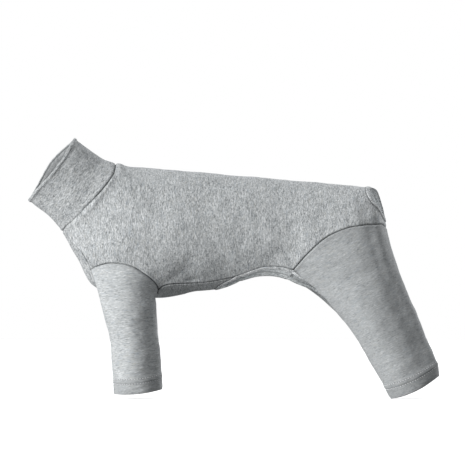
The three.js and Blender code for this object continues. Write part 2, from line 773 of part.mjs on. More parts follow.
const sheets = {
  neck_collar: collarSheet(neckLine),
  body_panel: panelSheet(bodyGrid, 1, isBodySewn),
  chest_belly_panel: panelSheet(bellyGrid, -1, isAlwaysSewn),
  left_front_sleeve: sleeveSheet(LEFT),
  right_front_sleeve: sleeveSheet(RIGHT),
  left_hind_leg: hindSheet(LEFT),
  right_hind_leg: hindSheet(RIGHT),
};
const normalAt = sharedNormals(Object.values(sheets));

// Edge of the belly opening on one side, from the belly panel to the crotch.
function bellyEdgeOf(bodyColumn, hindLeg) {
  const alongBody = sheets.body_panel.points
    .slice(BELLY_CORNER_ROW, BELLY_CORNER_ROW + BELLY_EDGE_STEPS + 1)
    .map((row) => row.at(bodyColumn));
  const alongLeg = reversed(hindLeg.points[0].slice(HIND_SEAM_STEPS + CENTRE_BACK_STEPS));
  return [...alongBody, ...alongLeg];
}

const tailEdge = sheets.body_panel.points.at(-1).slice(0, -1);
const bellyEdge = chain(
  bellyEdgeOf(0, sheets.left_hind_leg),
  reversed(bellyEdgeOf(-1, sheets.right_hind_leg)),
  reversed(sheets.chest_belly_panel.points.at(-1)).slice(0, -1),
);

const group = new THREE.Group();
Object.entries(sheets).forEach(([name, sheet]) => {
  group.add(clothSolid(sheet, normalAt).toMesh(name, new THREE.MeshStandardMaterial(CLOTH_LOOKS[name])));
});
Object.entries({ tail_opening_binding: tailEdge, belly_opening_binding: bellyEdge }).forEach(([name, edge]) => {
  group.add(bindingSolid(edge, normalAt).toMesh(name, new THREE.MeshStandardMaterial(CLOTH_LOOKS[name])));
});

export default group;
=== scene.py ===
"""A dog's knit jumpsuit: cloth, seams, hems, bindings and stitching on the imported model.

The head end points to -X, the dog's left side to -Y, and +Z is up. Shapes are worked out in
millimetres and written to meshes in metres.
"""

import json
import math
from functools import cached_property
from types import SimpleNamespace

import bpy
import numpy as np
from bpy.props import FloatProperty, FloatVectorProperty, PointerProperty
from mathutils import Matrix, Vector
from mathutils.kdtree import KDTree

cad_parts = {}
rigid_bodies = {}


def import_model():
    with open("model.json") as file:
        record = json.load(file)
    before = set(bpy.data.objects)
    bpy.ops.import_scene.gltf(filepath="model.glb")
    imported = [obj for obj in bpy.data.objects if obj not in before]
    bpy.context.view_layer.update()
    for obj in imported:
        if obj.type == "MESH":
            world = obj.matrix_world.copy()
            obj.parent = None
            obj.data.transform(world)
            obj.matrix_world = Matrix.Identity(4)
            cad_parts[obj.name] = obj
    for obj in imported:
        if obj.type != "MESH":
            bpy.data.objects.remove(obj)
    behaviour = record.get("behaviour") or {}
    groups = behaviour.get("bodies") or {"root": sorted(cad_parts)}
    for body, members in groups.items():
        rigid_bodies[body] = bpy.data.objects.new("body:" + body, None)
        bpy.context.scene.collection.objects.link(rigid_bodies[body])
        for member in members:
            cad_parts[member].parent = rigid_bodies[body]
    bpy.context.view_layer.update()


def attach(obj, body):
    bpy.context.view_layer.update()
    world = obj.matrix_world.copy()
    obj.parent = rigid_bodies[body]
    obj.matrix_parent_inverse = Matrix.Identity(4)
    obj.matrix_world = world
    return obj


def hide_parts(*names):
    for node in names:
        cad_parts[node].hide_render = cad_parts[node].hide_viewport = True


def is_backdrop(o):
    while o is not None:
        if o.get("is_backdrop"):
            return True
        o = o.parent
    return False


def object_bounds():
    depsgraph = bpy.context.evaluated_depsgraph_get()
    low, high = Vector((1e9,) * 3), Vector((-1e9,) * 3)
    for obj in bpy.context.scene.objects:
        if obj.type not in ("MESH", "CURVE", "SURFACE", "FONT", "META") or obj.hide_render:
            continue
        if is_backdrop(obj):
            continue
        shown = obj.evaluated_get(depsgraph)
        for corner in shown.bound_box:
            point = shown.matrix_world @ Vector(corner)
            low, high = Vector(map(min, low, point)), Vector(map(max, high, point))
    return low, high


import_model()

bl_info = {
    "name": "Dog jumpsuit",
    "version": (1, 0, 0),
    "blender": (4, 5, 0),
    "location": "View3D > Sidebar > Jumpsuit",
    "description": "Knit jumpsuit with a folded collar, sleeves, legs and two bound openings",
    "category": "Object",
}

# Trunk sections from neck to tail: top along, top up, underside along, underside up, half width.
# Along is a share of the back length, up of the chest depth, half width of the chest width.
TRUNK = [
    (0, 0.102, -0.208, -0.431, 0.336),
    (0.061, 0.076, -0.157, -0.616, 0.391),
    (0.136, 0.063, -0.093, -0.823, 0.445),
    (0.214, 0.049, 0.02, -0.936, 0.484),
    (0.293, 0.036, 0.175, -0.947, 0.5),
    (0.379, 0.021, 0.316, -0.899, 0.492),
    (0.473, 0.005, 0.446, -0.863, 0.477),
    (0.576, -0.013, 0.576, -0.856, 0.461),
    (0.678, -0.03, 0.709, -0.898, 0.461),
    (0.772, -0.046, 0.843, -0.968, 0.473),
    (0.862, -0.062, 0.969, -0.848, 0.469),
    (0.933, -0.073, 1.039, -0.697, 0.422),
    (0.976, -0.081, 1.072, -0.516, 0.336),
    (1, -0.085, 1.06, -0.327, 0.211),
    (1.028, -0.093, 1.065, -0.215, 0.141),
]
# Soft dents and swells: along, depth, length, reach, sink as a share of the chest width.
DENTS = [
    (0.045, 0.3, 0.035, 0.3, 0.012),
    (0.17, 0.62, 0.06, 0.12, -0.012),
    (0.315, 0.84, 0.045, 0.1, 0.02),
    (0.63, 0.72, 0.05, 0.14, 0.018),
    (0.86, 0.62, 0.06, 0.2, -0.014),
    (0.96, 0.32, 0.03, 0.14, 0.012),
]
# Neck seam: depth, along.
NECK_SEAM = [
    (0, 0.001), (0.045, 0.0095), (0.12, 0.019), (0.22, 0.0215),
    (0.34, 0.0195), (0.58, 0.011), (0.8, 0.004), (0.94, -0.002), (1, -0.002),
]
# Edge of the cloth round the tail: depth, left side along, right side along.
TAIL_EDGE = [
    (0, 0.99, 0.99), (0.06, 0.982, 1.006), (0.2, 0.978, 1.011), (0.35, 0.983, 1.009),
    (0.52, 0.99, 1.007), (0.75, 0.9935, 1.004), (1, 0.997, 0.997),
]
CHEST_SEAM_DEPTH = 0.968
# The other seams and edges, as along and depth from the head end towards the tail.
CHEST_SEAM = [(0.038, 0.956), (0.07, 0.924), (0.098, 0.921), (0.118, 0.93)]
ARMHOLE_OUTER = [
    (0.118, 0.93), (0.124, 0.893), (0.136, 0.846), (0.151, 0.804), (0.174, 0.769), (0.2, 0.756),
    (0.221, 0.764), (0.24, 0.791), (0.2575, 0.828), (0.272, 0.869), (0.281, 0.906), (0.2845, 0.932),
]
ARMHOLE_INNER = [
    (0.118, 0.93), (0.1315, 0.953), (0.155, 0.971), (0.187, 0.98), (0.219, 0.984),
    (0.25, 0.985), (0.274, 0.981), (0.284, 0.963), (0.2845, 0.932),
]
BELLY_SEAM = [
    (0.2845, 0.932), (0.295, 0.905), (0.31, 0.9), (0.338, 0.907), (0.387, 0.922), (0.444, 0.92),
]
BELLY_EDGES = {
    "left": [
        (0.5, 0.899), (0.524, 0.88), (0.55, 0.854), (0.58, 0.827),
        (0.617, 0.814), (0.646, 0.81), (0.672, 0.815),
    ],
    "right": [
        (0.5, 0.936), (0.528, 0.915), (0.55, 0.897), (0.58, 0.881),
        (0.617, 0.874), (0.645, 0.879), (0.663, 0.886),
    ],
}
LEG_EDGES = {
    "left": [(0.698, 0.842), (0.729, 0.861), (0.7455, 0.905), (0.759, 0.952), (0.779, 0.992)],
    "right": [(0.687, 0.905), (0.715, 0.912), (0.7405, 0.924), (0.758, 0.947), (0.779, 0.992)],
}
CROTCH = (0.782, 1)
HIND_SEAM = [
    (0.692, 0.737), (0.719, 0.635), (0.7635, 0.511), (0.8, 0.456), (0.846, 0.433),
    (0.896, 0.441), (0.938, 0.494), (0.972, 0.63), (0.987, 0.87),
]
SEAT = (0.9905, 1)
# Collar rings from seam to rim: top ahead, top up, underside ahead, underside up, half width.
COLLAR = [
    (0.245, 0.08, 0.173, 0.221, 0.532),
    (0.444, 0.21, 0.358, 0.39, 0.512),
    (0.66, 0.355, 0.545, 0.53, 0.502),
    (0.884, 0.522, 0.724, 0.663, 0.5),
]
# How far the rim stands ahead of its flat plane: depth, left side, right side.
RIM_LEAN = [
    (0, 0, 0), (0.2, -0.06, 0.08), (0.4, -0.065, 0.115),
    (0.6, -0.06, 0.09), (0.8, -0.022, 0.04), (1, 0, 0),
]
# Leg rings from the first full ring to the hem: drop, shift, depth, tilt, width, spread, sag.
FRONT_RINGS = [
    (0.159, 0, 1.09, -8.8, 1.05, 0.95, 0),
    (0.276, 0.016, 1.04, -4.1, 1.02, 0.97, 0),
    (0.408, 0.036, 1.004, -1.5, 1, 0.98, 0),
    (0.725, 0.069, 1.008, 1.5, 1, 1, 0),
    (1, 0.084, 1, 5.6, 1, 1, 0.05),
]
HIND_RINGS = [
    (0.171, 0.111, 1.328, 29.3, 1.14, 0.9, 0),
    (0.388, 0.232, 1.207, 27.4, 1.07, 0.95, 0),
    (0.652, 0.365, 1.137, 28.6, 1.02, 0.98, 0),
    (0.89, 0.48, 1.09, 23, 1, 1, 0.02),
    (1, 0.518, 1, 25, 1, 1, 0.08),
]
# How each pair of legs sits on the trunk: along and up, its hole and the lines round the hole, the degrees
# round the leg where each line starts, and the share and place of the ridge on its outside.
LEGS = {
    "front": SimpleNamespace(
        place=(0.059, -0.938), rings=FRONT_RINGS, hole="armhole", lines=("outer", "inner"),
        marks=(170, 10, -190), ridge=0.5, crest=-0.05,
    ),
    "hind": SimpleNamespace(
        place=(0.969, -0.84), rings=HIND_RINGS, hole="leg_hole", lines=("hind", "back", "leg"),
        marks=(165, 5, -125, -195), ridge=1.2, crest=-0.36,
    ),
}
# Where the smooth lines of a tube start, before its seam: for a leg by how much wider than its hole, for the
# collar by how much farther along the back.
LEG_LEAD = 0.2
COLLAR_LEAD = 0.04
# How far the middle of the belly opening's edge is scooped out, and how even the rows before it are.
BELLY_NOTCH = 22
BELLY_EVENNESS = 0.8
# How quickly the rows of a panel bend to its front and rear edges, and to the notch.
EDGE_PULL = 8
NOTCH_PULL = 6

SIDES = ("left", "right")
TAIL_COLUMNS = {"left": 1, "right": 2}

# How many steps each line is cut into.
STEPS = {
    "chest": 22, "outer": 46, "inner": 32, "belly": 46, "opening": 28,
    "hind": 88, "back": 36, "leg": 26, "seat": 3,
}
# Distances from a seam, where the cloth bends most and its mesh is finest.
NEAR_SEAM = (0, 0.35, 0.75, 1.2, 1.7, 2.3, 3.1, 4.2, 5.6, 7.4)
# Mesh steps away from the seams, the under panel's width, and half the girth of the body panel as a share
# of the chest depth times pi.
BODY_STEP, BELLY_STEP, TUBE_STEP = 2.7, 2.4, 2.0
BELLY_WIDTH = 76.0
HALF_GIRTH = 0.36
# Rows above a free edge, round the top of a hem and round its lower row of needles.
EDGE_ROWS = (0.5, 1.0, 1.8, 3.0)
HEM_ROWS = (-1.2, -0.8, -0.4, 0, 0.4, 0.8, 1.2, 1.8, 2.6)
NEEDLE_ROWS = (-1.6, -0.8, -0.4, 0, 0.4, 0.8, 1.6)
# Rows keep their height above the free edge up to here.
EVEN_HEIGHT = 32.0
# The collar's inner layer ends this far from the neck seam.
COLLAR_INSET = 3

# Soft waves of the cloth: height, length, seed.
CLOTH_WAVES = ((0.42, 62, 3), (0.2, 23, 5), (0.07, 9, 8))
# What a seam does to the cloth beside it, and the painted shade lines in a seam and under the rim of a band,
# where shade falls.
SEAM = SimpleNamespace(
    hold=0.85, hold_reach=5, crest_at=2.6, crest_width=1.7, dip_width=0.6, dip_power=1.3,
    pucker_pitch=7.3, pucker_drift=1.7, drift_pitch=11.7, fade_pitch=17.1, pucker_reach=5.5, pucker_start=1.4,
    line=0.62, line_change=0.2, line_patch=16, line_seed=21, line_width=0.7,
    band_line=0.95, band_line_at=0.6, band_line_width=0.85,
)
# The ridge on the outside of a leg. Places round it run from 1 at the rear to -1 at the front.
RIDGE = SimpleNamespace(
    width=0.45, rear=0.74, rear_width=0.3, rear_sink=1.2, reach=75, at_hem=0.35, above_hem=8,
)
# Grooves of the needles, swells and ledge of a hem, and the painted shade on the turned hem and along its
# needle grooves.
HEM = SimpleNamespace(
    needle_inset=0.4, groove=0.6, groove_width=0.8, swell=0.35, swell_width=2.2,
    ledge=0.9, ledge_at=1.2, ledge_softness=0.5, ledge_reach=12, edge_swell=0.3, edge_at=2.5, edge_width=3,
    shade=0.24, shade_softness=0.6, needle_shade=0.3,
)
# Welt of the collar's rim: height above the fold, width, swell.
RIM_WELT = ((1.2, 1.7, 0.9), (5.5, 2.4, -0.5))

# Where a seam shows less as a dip and a painted shade line, or more if below zero: x, z, reach, share.
SEAM_FADES = [
    (-217, -48, 30, 0.8),
    (-224, -86, 14, 0.7),
    (-205, -105, 7, -1.3),
    (-198, -118, 7, 0.6),
    (-196, -132, 10, 0.8),
    (-178, 2, 16, -0.5),
    (-112, -132, 16, -0.5),
    (-110, -148, 9, -0.8),
    (-84, -140, 18, -0.7),
    (-50, -142, 18, -0.7),
    (-22, -140, 14, -0.5),
]

# Creases pressed into the cloth on both sides: start, end (x, z), width, height.
CREASES = [
    ((-86, -140), (-62, -133), 2.6, -1.3),
    ((-90, -130), (-70, -118), 3.2, -0.9),
    ((-84, -146), (-60, -142), 2.2, 0.8),
    ((-128, -118), (-104, -113), 6, 0.6),
    ((60, -118), (78, -96), 5, 0.8),
    ((58, -122), (92, -116), 4, -0.9),
    ((96, -110), (150, -92), 9, 0.9),
    ((120, -140), (172, -120), 8, -0.8),
    ((168, -196), (216, -176), 7, 0.5),
    ((188, -232), (232, -212), 6, -0.45),
    ((196, -252), (240, -228), 6, 0.4),
    ((-160, -196), (-118, -200), 8, -0.5),
    ((-158, -232), (-112, -226), 7, 0.5),
    ((-150, -60), (-128, -112), 12, 0.7),
    ((-40, -30), (-34, -100), 14, -0.6),
    ((20, -24), (12, -96), 15, 0.6),
    ((-212, -105), (-200, -126), 10, -1.3),
    ((-195, -139), (-185, -172), 11, 2.6),
    ((-102, -151), (-60, -148), 9, -1.9),
    ((95, -148), (124, -171), 8, -1.2),
    ((-218, -40), (-192, -8), 5, -0.7),
    ((-206, -52), (-178, -14), 4, 0.6),
    ((-218, -60), (-200, -43), 1.9, 2.6),
    ((-194, -36.5), (-169, -4), 1.9, 2.6),
    ((-166, 6), (-166, 24), 2.2, -5),
    ((-160, 6), (-159, 24), 3.2, 1.3),
]


def suit_sizes(sizes):
    """The named sizes, with each length in millimetres."""
    numbers = [p for p in JumpsuitSizes.bl_rna.properties if p.type == "FLOAT"]
    return SimpleNamespace(**{
        p.identifier: getattr(sizes, p.identifier) * (1000 if p.unit == "LENGTH" else 1) for p in numbers
    })


class Table:
    """A smooth curve through rows of numbers, read along the first column."""

    def __init__(self, rows):
        self.rows = np.array(rows, float)
        gaps = np.diff(self.rows[:, 0])[:, None]
        rise = np.diff(self.rows, axis=0) / gaps
        inner = (rise[:-1] * gaps[1:] + rise[1:] * gaps[:-1]) / (gaps[:-1] + gaps[1:])
        self.slopes = np.vstack([rise[:1], inner, rise[-1:]])

    def __call__(self, place):
        place = np.asarray(place, float)
        knots = self.rows[:, 0]
        row = np.searchsorted(knots[1:-1], place, side="left")
        span = (knots[row + 1] - knots[row])[..., None]
        t = (place - knots[row])[..., None] / span
        start, end = self.rows[row], self.rows[row + 1]
        leave, arrive = self.slopes[row] * span, self.slopes[row + 1] * span
        bend = (1 - t) * (leave - (end - start)) + t * (end - start - arrive)
        return start + (end - start) * t + t * (1 - t) * bend


TRUNK_TABLE, NECK_TABLE = Table(TRUNK), Table(NECK_SEAM)
TAIL_TABLE, LEAN_TABLE = Table(TAIL_EDGE), Table(RIM_LEAN)


def unit(vectors):
    return vectors / np.maximum(np.linalg.norm(vectors, axis=-1, keepdims=True), 1e-12)


def depth_of(angle):
    return (1 - np.cos(angle)) / 2


def angle_of(depth):
    return np.arccos(np.clip(1 - 2 * np.asarray(depth, float), -1, 1))


def bell(x, width):
    """1 at zero, falling smoothly to nothing about two widths away."""
    return np.exp(-((x / width) ** 2))


def slope_up(x, softness):
    """From 0 well below zero to 1 well above it."""
    return 1 / (1 + np.exp(-x / softness))


def closed(line):
    return np.concatenate([line, line[:1]])


def blended(values, axis=0):
    """Each value with its two neighbours round a closed line, adding up to four shares."""
    return np.roll(values, 1, axis) + 2 * values + np.roll(values, -1, axis)


def distances_along(points):
    """Distance from the first point to each, along the first axis of an array of points."""
    steps = np.linalg.norm(np.diff(points, axis=0), axis=-1)
    return np.concatenate([np.zeros((1,) + steps.shape[1:]), np.cumsum(steps, axis=0)])


def read_at(at, far, values):
    """Rows of values known at rising distances, read at other distances."""
    return np.stack([np.interp(at, far, values[:, k]) for k in range(values.shape[1])], -1)


def smooth_curve(knots, t):
    """Points at shares t of the way along centripetal curves. Knots are (knot, curve, coordinate)."""
    knots = np.asarray(knots, float)
    ends = np.concatenate([[2 * knots[0] - knots[1]], knots, [2 * knots[-1] - knots[-2]]])
    place = np.asarray(t, float) * (len(knots) - 1)
    first = np.clip(np.floor(place).astype(int), 0, len(knots) - 2)
    w = (place - first)[:, None, None]
    p0, p1, p2, p3 = (ends[first + k] for k in range(4))
    d0, d1, d2 = (
        np.maximum(np.linalg.norm(b - a, axis=-1, keepdims=True), 1e-6) ** 0.5
        for a, b in ((p0, p1), (p1, p2), (p2, p3))
    )
    leave = ((p1 - p0) / d0 - (p2 - p0) / (d0 + d1) + (p2 - p1) / d1) * d1
    arrive = ((p2 - p1) / d1 - (p3 - p1) / (d1 + d2) + (p3 - p2) / d2) * d1
    square = -3 * p1 + 3 * p2 - 2 * leave - arrive
    return p1 + w * (leave + w * (square + w * (2 * p1 - 2 * p2 + leave + arrive)))


def waves(points, length, seed, count=14):
    """A smooth random field from -1 to 1 or so, with features about as long as length."""
    rng = np.random.default_rng(seed)
    direction = unit(rng.normal(size=(count, 3)))
    stretch = rng.uniform(0.7, 1.5, count)
    phase = rng.uniform(0, 2 * np.pi, count)
    total = sum(
        np.sin(points @ (d * 2 * np.pi * s / length) + p) for d, s, p in zip(direction, stretch, phase)
    )
    return total / count ** 0.5


def clustered(length, step, both=True):
    """Distances from 0 to length: close together near a seam at the start, or at both ends."""
    start = [d for d in NEAR_SEAM if d < length / 3]
    end = [length - d for d in reversed(start)] if both else [length]
    inner = max(1, round((end[0] - start[-1]) / step))
    return np.array([*start, *np.linspace(start[-1], end[0], inner + 1)[1:-1], *end])


class Suit:
    """The surfaces of the whole jumpsuit, for one set of sizes in millimetres."""

    def __init__(self, sizes):
        self.size = sizes
        self.tubes = {}
        self.lines = {side: self.side_lines(side) for side in SIDES}
        self.body_places = self.body_grid()
        self.belly_places = self.belly_grid()
        self.find_seams()

    # Trunk

    def trunk(self, along, angle):
        """Points of the trunk at shares of the back and angles from the top, round the left side."""
        size = self.size
        along, angle = np.broadcast_arrays(np.asarray(along, float), np.asarray(angle, float))
        _, top_up, low_along, low_up, half_width = np.moveaxis(TRUNK_TABLE(along), -1, 0)
        zero = np.zeros_like(along)
        top, low = (
            np.stack([(far - 0.5) * size.back_length, zero, up * size.chest_depth + size.cloth], -1)
            for far, up in ((along, top_up), (low_along, low_up))
        )
        depth = depth_of(angle)
        point = top + (low - top) * depth[..., None]
        point[..., 1] = -half_width * size.chest_width * np.sin(angle) * (1 + size.keel * np.cos(angle))
        inward = unit((top + low) / 2 - point)
        dent = sum(
            sink * size.chest_width * bell(along - at, length) * bell(depth - level, reach)
            for at, level, length, reach, sink in DENTS
        )
        return point + inward * dent[..., None]

    def trunk_normal(self, along, angle):
        step = 1e-3
        ahead = self.trunk(along + step, angle) - self.trunk(along - step, angle)
        around = self.trunk(along, angle + step) - self.trunk(along, angle - step)
        return unit(np.cross(around, ahead))

    def trunk_line(self, rows, steps):
        """Places of [along, angle] at equal distances on a smooth line through rows of along and depth."""
        rows = np.array(rows, float)
        scale = np.array([self.size.back_length, self.size.chest_width / 2])
        knots = np.stack([rows[:, 0], angle_of(rows[:, 1])], -1) * scale
        fine = smooth_curve(knots[:, None, :], np.linspace(0, 1, steps * 12 + 1))[:, 0, :] / scale
        far = distances_along(self.trunk(*fine.T))
        return read_at(np.linspace(0, far[-1], steps + 1), far, fine)

    def side_lines(self, side):
        """Every seam and edge on one side, as places of [along, angle]."""
        column = TAIL_COLUMNS[side]
        belly_edge, leg_edge = BELLY_EDGES[side], LEG_EDGES[side]
        chest_start = (NECK_TABLE(CHEST_SEAM_DEPTH)[1], CHEST_SEAM_DEPTH)
        line = SimpleNamespace(
            chest=self.trunk_line([chest_start, *CHEST_SEAM], STEPS["chest"]),
            outer=self.trunk_line(ARMHOLE_OUTER, STEPS["outer"]),
            inner=self.trunk_line(ARMHOLE_INNER, STEPS["inner"]),
            belly=self.trunk_line([*BELLY_SEAM, belly_edge[0]], STEPS["belly"]),
            opening=self.trunk_line(belly_edge, STEPS["opening"]),
            hind=self.trunk_line([belly_edge[-1], *HIND_SEAM, SEAT], STEPS["hind"]),
            back=self.trunk_line([CROTCH, SEAT], STEPS["back"]),
            leg=self.trunk_line([belly_edge[-1], *leg_edge, CROTCH], STEPS["leg"]),
        )
        tail_end = np.array([TAIL_TABLE(1.0)[column], np.pi])
        seat = line.hind[-1] + (tail_end - line.hind[-1]) * np.linspace(0, 1, STEPS["seat"] + 1)[:, None]
        line.body_border = self.chain(line.chest, line.outer, line.belly, line.opening, line.hind, seat)
        line.belly_border = self.chain(line.chest, line.inner, line.belly)
        line.armhole = self.chain(line.outer, line.inner[::-1])[:-1]
        line.leg_hole = self.chain(line.hind, line.back[::-1], line.leg[::-1])[:-1]
        return line

    @staticmethod
    def chain(*lines):
        return np.concatenate([lines[0]] + [line[1:] for line in lines[1:]])

    def neck_along(self, angle):
        return NECK_TABLE(depth_of(angle))[..., 1]

    def body_grid(self):
        """Places over the body panel: rows from neck to tail, columns from the left border to the right."""
        left, right = self.lines["left"].body_border, self.lines["right"].body_border
        far = distances_along(self.trunk(*left.T))
        share = far / far[-1]
        half_girth = HALF_GIRTH * math.pi * self.size.chest_depth
        across = 1 - clustered(half_girth, BODY_STEP, both=False) / half_girth
        across = np.concatenate([across, -across[-2::-1]])
        top_first, top_last = self.neck_along(0.0), TAIL_TABLE(0.0)[1]
        top = top_first + (top_last - top_first) * share
        top = top + (left[:, 0] - (left[-1, 0] - top_last) * share - top) * share ** 2
        grid = np.zeros((len(left), len(across), 2))
        for step, a in enumerate(across):
            border, side = (left, "left") if a >= 0 else (right, "right")
            end = TAIL_TABLE(depth_of(abs(a) * np.pi))[TAIL_COLUMNS[side]]
            at_neck = self.neck_along(abs(a) * border[0, 1]) - top_first - (border[0, 0] - top_first) * a * a
            at_tail = end - top_last - (border[-1, 0] - top_last) * a * a
            grid[:, step, 0] = top + (border[:, 0] - top) * a * a
            grid[:, step, 0] += at_neck * (1 - share) ** EDGE_PULL + at_tail * share ** EDGE_PULL
            grid[:, step, 1] = a * border[:, 1]
        return grid

    def belly_grid(self):
        """Places over the under panel: rows from neck to belly opening, columns from left to right."""
        left, right = self.lines["left"].belly_border, self.lines["right"].belly_border
        far = distances_along(self.trunk(*left.T))
        share = (far / far[-1])[:, None]
        across = (clustered(BELLY_WIDTH, BELLY_STEP) / BELLY_WIDTH)[None, :]
        middle = 4 * across * (1 - across)
        angle = left[:, 1:] + (2 * np.pi - right[:, 1:] - left[:, 1:]) * across
        straight = left[:, :1] + (right[:, :1] - left[:, :1]) * across
        even = straight[:1] + (straight[-1:] - straight[:1]) * share
        at_neck = self.neck_along(angle[:1]) - straight[:1]
        notch = BELLY_NOTCH / self.size.back_length * middle
        along = straight + (even - straight) * middle * BELLY_EVENNESS
        along = along + at_neck * (1 - share) ** EDGE_PULL - notch * share ** NOTCH_PULL
        return np.stack([along, angle], -1)

    # Seams

    def on_side(self, side, places):
        return places if side == "left" else places * (1, -1)

    def find_seams(self):
        """Fine points along every seam, and along every edge that a band binds."""
        seams = [np.concatenate([self.body_places[0, :-1], self.belly_places[0, ::-1]])]
        edges = [self.body_places[-1], self.belly_places[-1]]
        for side in SIDES:
            line = self.lines[side]
            sewn = (line.chest, line.outer, line.inner, line.belly, line.hind)
            seams += [self.on_side(side, part) for part in sewn]
            edges += [self.on_side(side, part) for part in (line.opening, line.leg)]
        seams.append(self.lines["left"].back)
        self.seam_tree, self.seam_marks = self.tree_of(seams)
        self.edge_tree, _ = self.tree_of(edges)

    def tree_of(self, loops):
        """A tree of fine points along lines on the trunk, and how far along its line each lies."""
        points, marks = [], []
        for number, loop in enumerate(loops):
            fine = np.linspace(0, len(loop) - 1, (len(loop) - 1) * 5 + 1)
            spots = self.trunk(*read_at(fine, np.arange(len(loop)), loop).T)
            points.append(spots)
            marks.append(distances_along(spots) + 1000 * number)
        points = np.concatenate(points)
        tree = KDTree(len(points))
        for index, point in enumerate(points):
            tree.insert(point, index)
        tree.balance()
        return tree, np.concatenate(marks)

    @staticmethod
    def nearest(tree, points):
        """Distance to the nearest point of a tree, and its number, for each point."""
        found = [tree.find(point) for point in points]
        return np.array([hit[2] for hit in found]), np.array([hit[1] for hit in found])

    def relief(self, points):
        """How far the cloth stands out of its plain shape: folds, seam grooves and puckers."""
        size = self.size
        flat = points.reshape(-1, 3)
        rise = sum(height * waves(flat, length, seed) for height, length, seed in CLOTH_WAVES)
        rise += sum(self.crease(flat, *row) for row in CREASES)
        far, number = self.nearest(self.seam_tree, flat)
        mark = self.seam_marks[number]
        rise *= 1 - SEAM.hold * bell(far, SEAM.hold_reach)
        rise += size.seam_crest * bell(far - SEAM.crest_at, SEAM.crest_width)
        dip = np.exp(-((far / SEAM.dip_width) ** SEAM.dip_power))
        rise -= size.seam_depth * np.minimum(1, self.seam_show(flat)) * dip
        drift = SEAM.pucker_drift * np.sin(mark / SEAM.drift_pitch)
        beat = np.sin(2 * np.pi * mark / SEAM.pucker_pitch + drift)
        beat *= 0.6 + 0.4 * np.sin(mark / SEAM.fade_pitch)
        rise += size.pucker * beat * bell(far, SEAM.pucker_reach) * (1 - bell(far, SEAM.pucker_start))
        return rise.reshape(points.shape[:-1])

    def groove(self, points):
        """Painted shade at each point, in a seam or under the rim of a band: 1 in it and 0 away from it."""
        flat = points.reshape(-1, 3)
        shown = SEAM.line + SEAM.line_change * waves(flat, SEAM.line_patch, SEAM.line_seed)
        seam = shown * self.seam_show(flat) * bell(self.nearest(self.seam_tree, flat)[0], SEAM.line_width)
        past_band = self.nearest(self.edge_tree, flat)[0] - self.size.binding_bite - SEAM.band_line_at
        band = SEAM.band_line * bell(past_band, SEAM.band_line_width)
        return np.maximum(seam, band).reshape(points.shape[:-1])

    @staticmethod
    def seam_show(points):
        """How strongly a seam shows as a dip and a painted shade line: 1 for most, less where it lies flat,
        more where it is drawn in.
        """
        shown = np.ones(len(points))
        for x, z, reach, fade in SEAM_FADES:
            shown *= 1 - fade * bell(np.hypot(points[:, 0] - x, points[:, 2] - z), reach)
        return shown

    @staticmethod
    def crease(points, start, end, width, height):
        """A soft ridge, or a hollow if its height is below zero, along a line seen from the side."""
        run = np.subtract(end, start)
        length = np.linalg.norm(run)
        from_start = points[:, (0, 2)] - start
        ahead = from_start @ (run / length)
        off = from_start @ np.array([-run[1], run[0]]) / length
        over = np.maximum(0, np.maximum(-ahead, ahead - length))
        return height * bell(off, width) * bell(over, 2 * width)

    # Sheets

    def panel(self, places):
        base = self.trunk(places[..., 0], places[..., 1])
        normal = self.trunk_normal(places[..., 0], places[..., 1])
        outer = base + normal * self.relief(base)[..., None]
        return SimpleNamespace(outer=outer, normal=normal, base=base, shade=self.groove(base))

    @cached_property
    def body_panel(self):
        return self.panel(self.body_places)

    @cached_property
    def belly_panel(self):
        return self.panel(self.belly_places)

    def tube(self, hole, beyond, rings, close_rows):
        """A tube of cloth from a hole in the trunk through rings, in rows from the seam to the free edge."""
        knots = np.stack([self.trunk(*beyond.T), self.trunk(*hole.T), *rings])
        fine = smooth_curve(knots, np.linspace(1 / (len(rings) + 1), 1, 160))
        far = distances_along(fine)
        total = far[-1].mean()
        kept = min(EVEN_HEIGHT, total / 2)
        rows = np.concatenate([total - clustered(total, TUBE_STEP, both=False), close_rows])
        rows = np.unique(np.round(rows, 4))[::-1]
        base = np.zeros((len(rows), len(hole), 3))
        for column, length in enumerate(far[-1]):
            stretched = kept + (rows - kept) * (length - kept) / (total - kept)
            height = np.where(rows <= kept, rows, stretched)
            base[:, column] = read_at(length - height, far[:, column], fine[:, column])
        around = np.roll(base, -1, 1) - np.roll(base, 1, 1)
        normal = unit(np.cross(around, np.gradient(base, axis=0)))
        seam_normal = self.trunk_normal(*hole.T)
        if (normal[0] * seam_normal).sum() < 0:
            normal = -normal
        for _ in range(3):
            padded = np.concatenate([normal[:1], normal, normal[-1:]])
            normal = unit(blended(padded[:-2] + 2 * padded[1:-1] + padded[2:], 1))
        from_seam = (total - rows)[:, None, None]
        normal = unit(normal + (seam_normal - normal) * bell(from_seam, 5))
        return SimpleNamespace(
            base=base, normal=normal, rows=rows, beyond=unit(base[-1] - base[-4]), shade=self.groove(base)
        )

    def leg_ring(self, side, kind, ring, angles):
        """One ring of a leg, as points at angles round it from the rear."""
        size = self.size
        length, cuff_depth, cuff_width, stance = (
            getattr(size, f"{kind}_{part}") for part in ("length", "cuff_depth", "cuff_width", "stance")
        )
        drop, shift, depth, tilt, width, spread, sag = ring
        along, up = LEGS[kind].place
        hand = 1 if side == "left" else -1
        back = np.cos(angles) * depth * cuff_depth / 2
        out = np.sin(angles) * width * cuff_width / 2
        low = np.sin(angles) ** 2 * sag * cuff_width
        x = (along - 0.5) * size.back_length + shift * length + back * math.cos(math.radians(tilt))
        z = up * size.chest_depth + size.cloth - drop * length + back * math.sin(math.radians(tilt)) - low
        return np.stack([x, -hand * (spread * stance + out), z], -1)

    def leg(self, side, kind):
        """One leg, worked out once."""
        if (side, kind) not in self.tubes:
            self.tubes[side, kind] = self.new_leg(side, kind)
        return self.tubes[side, kind]

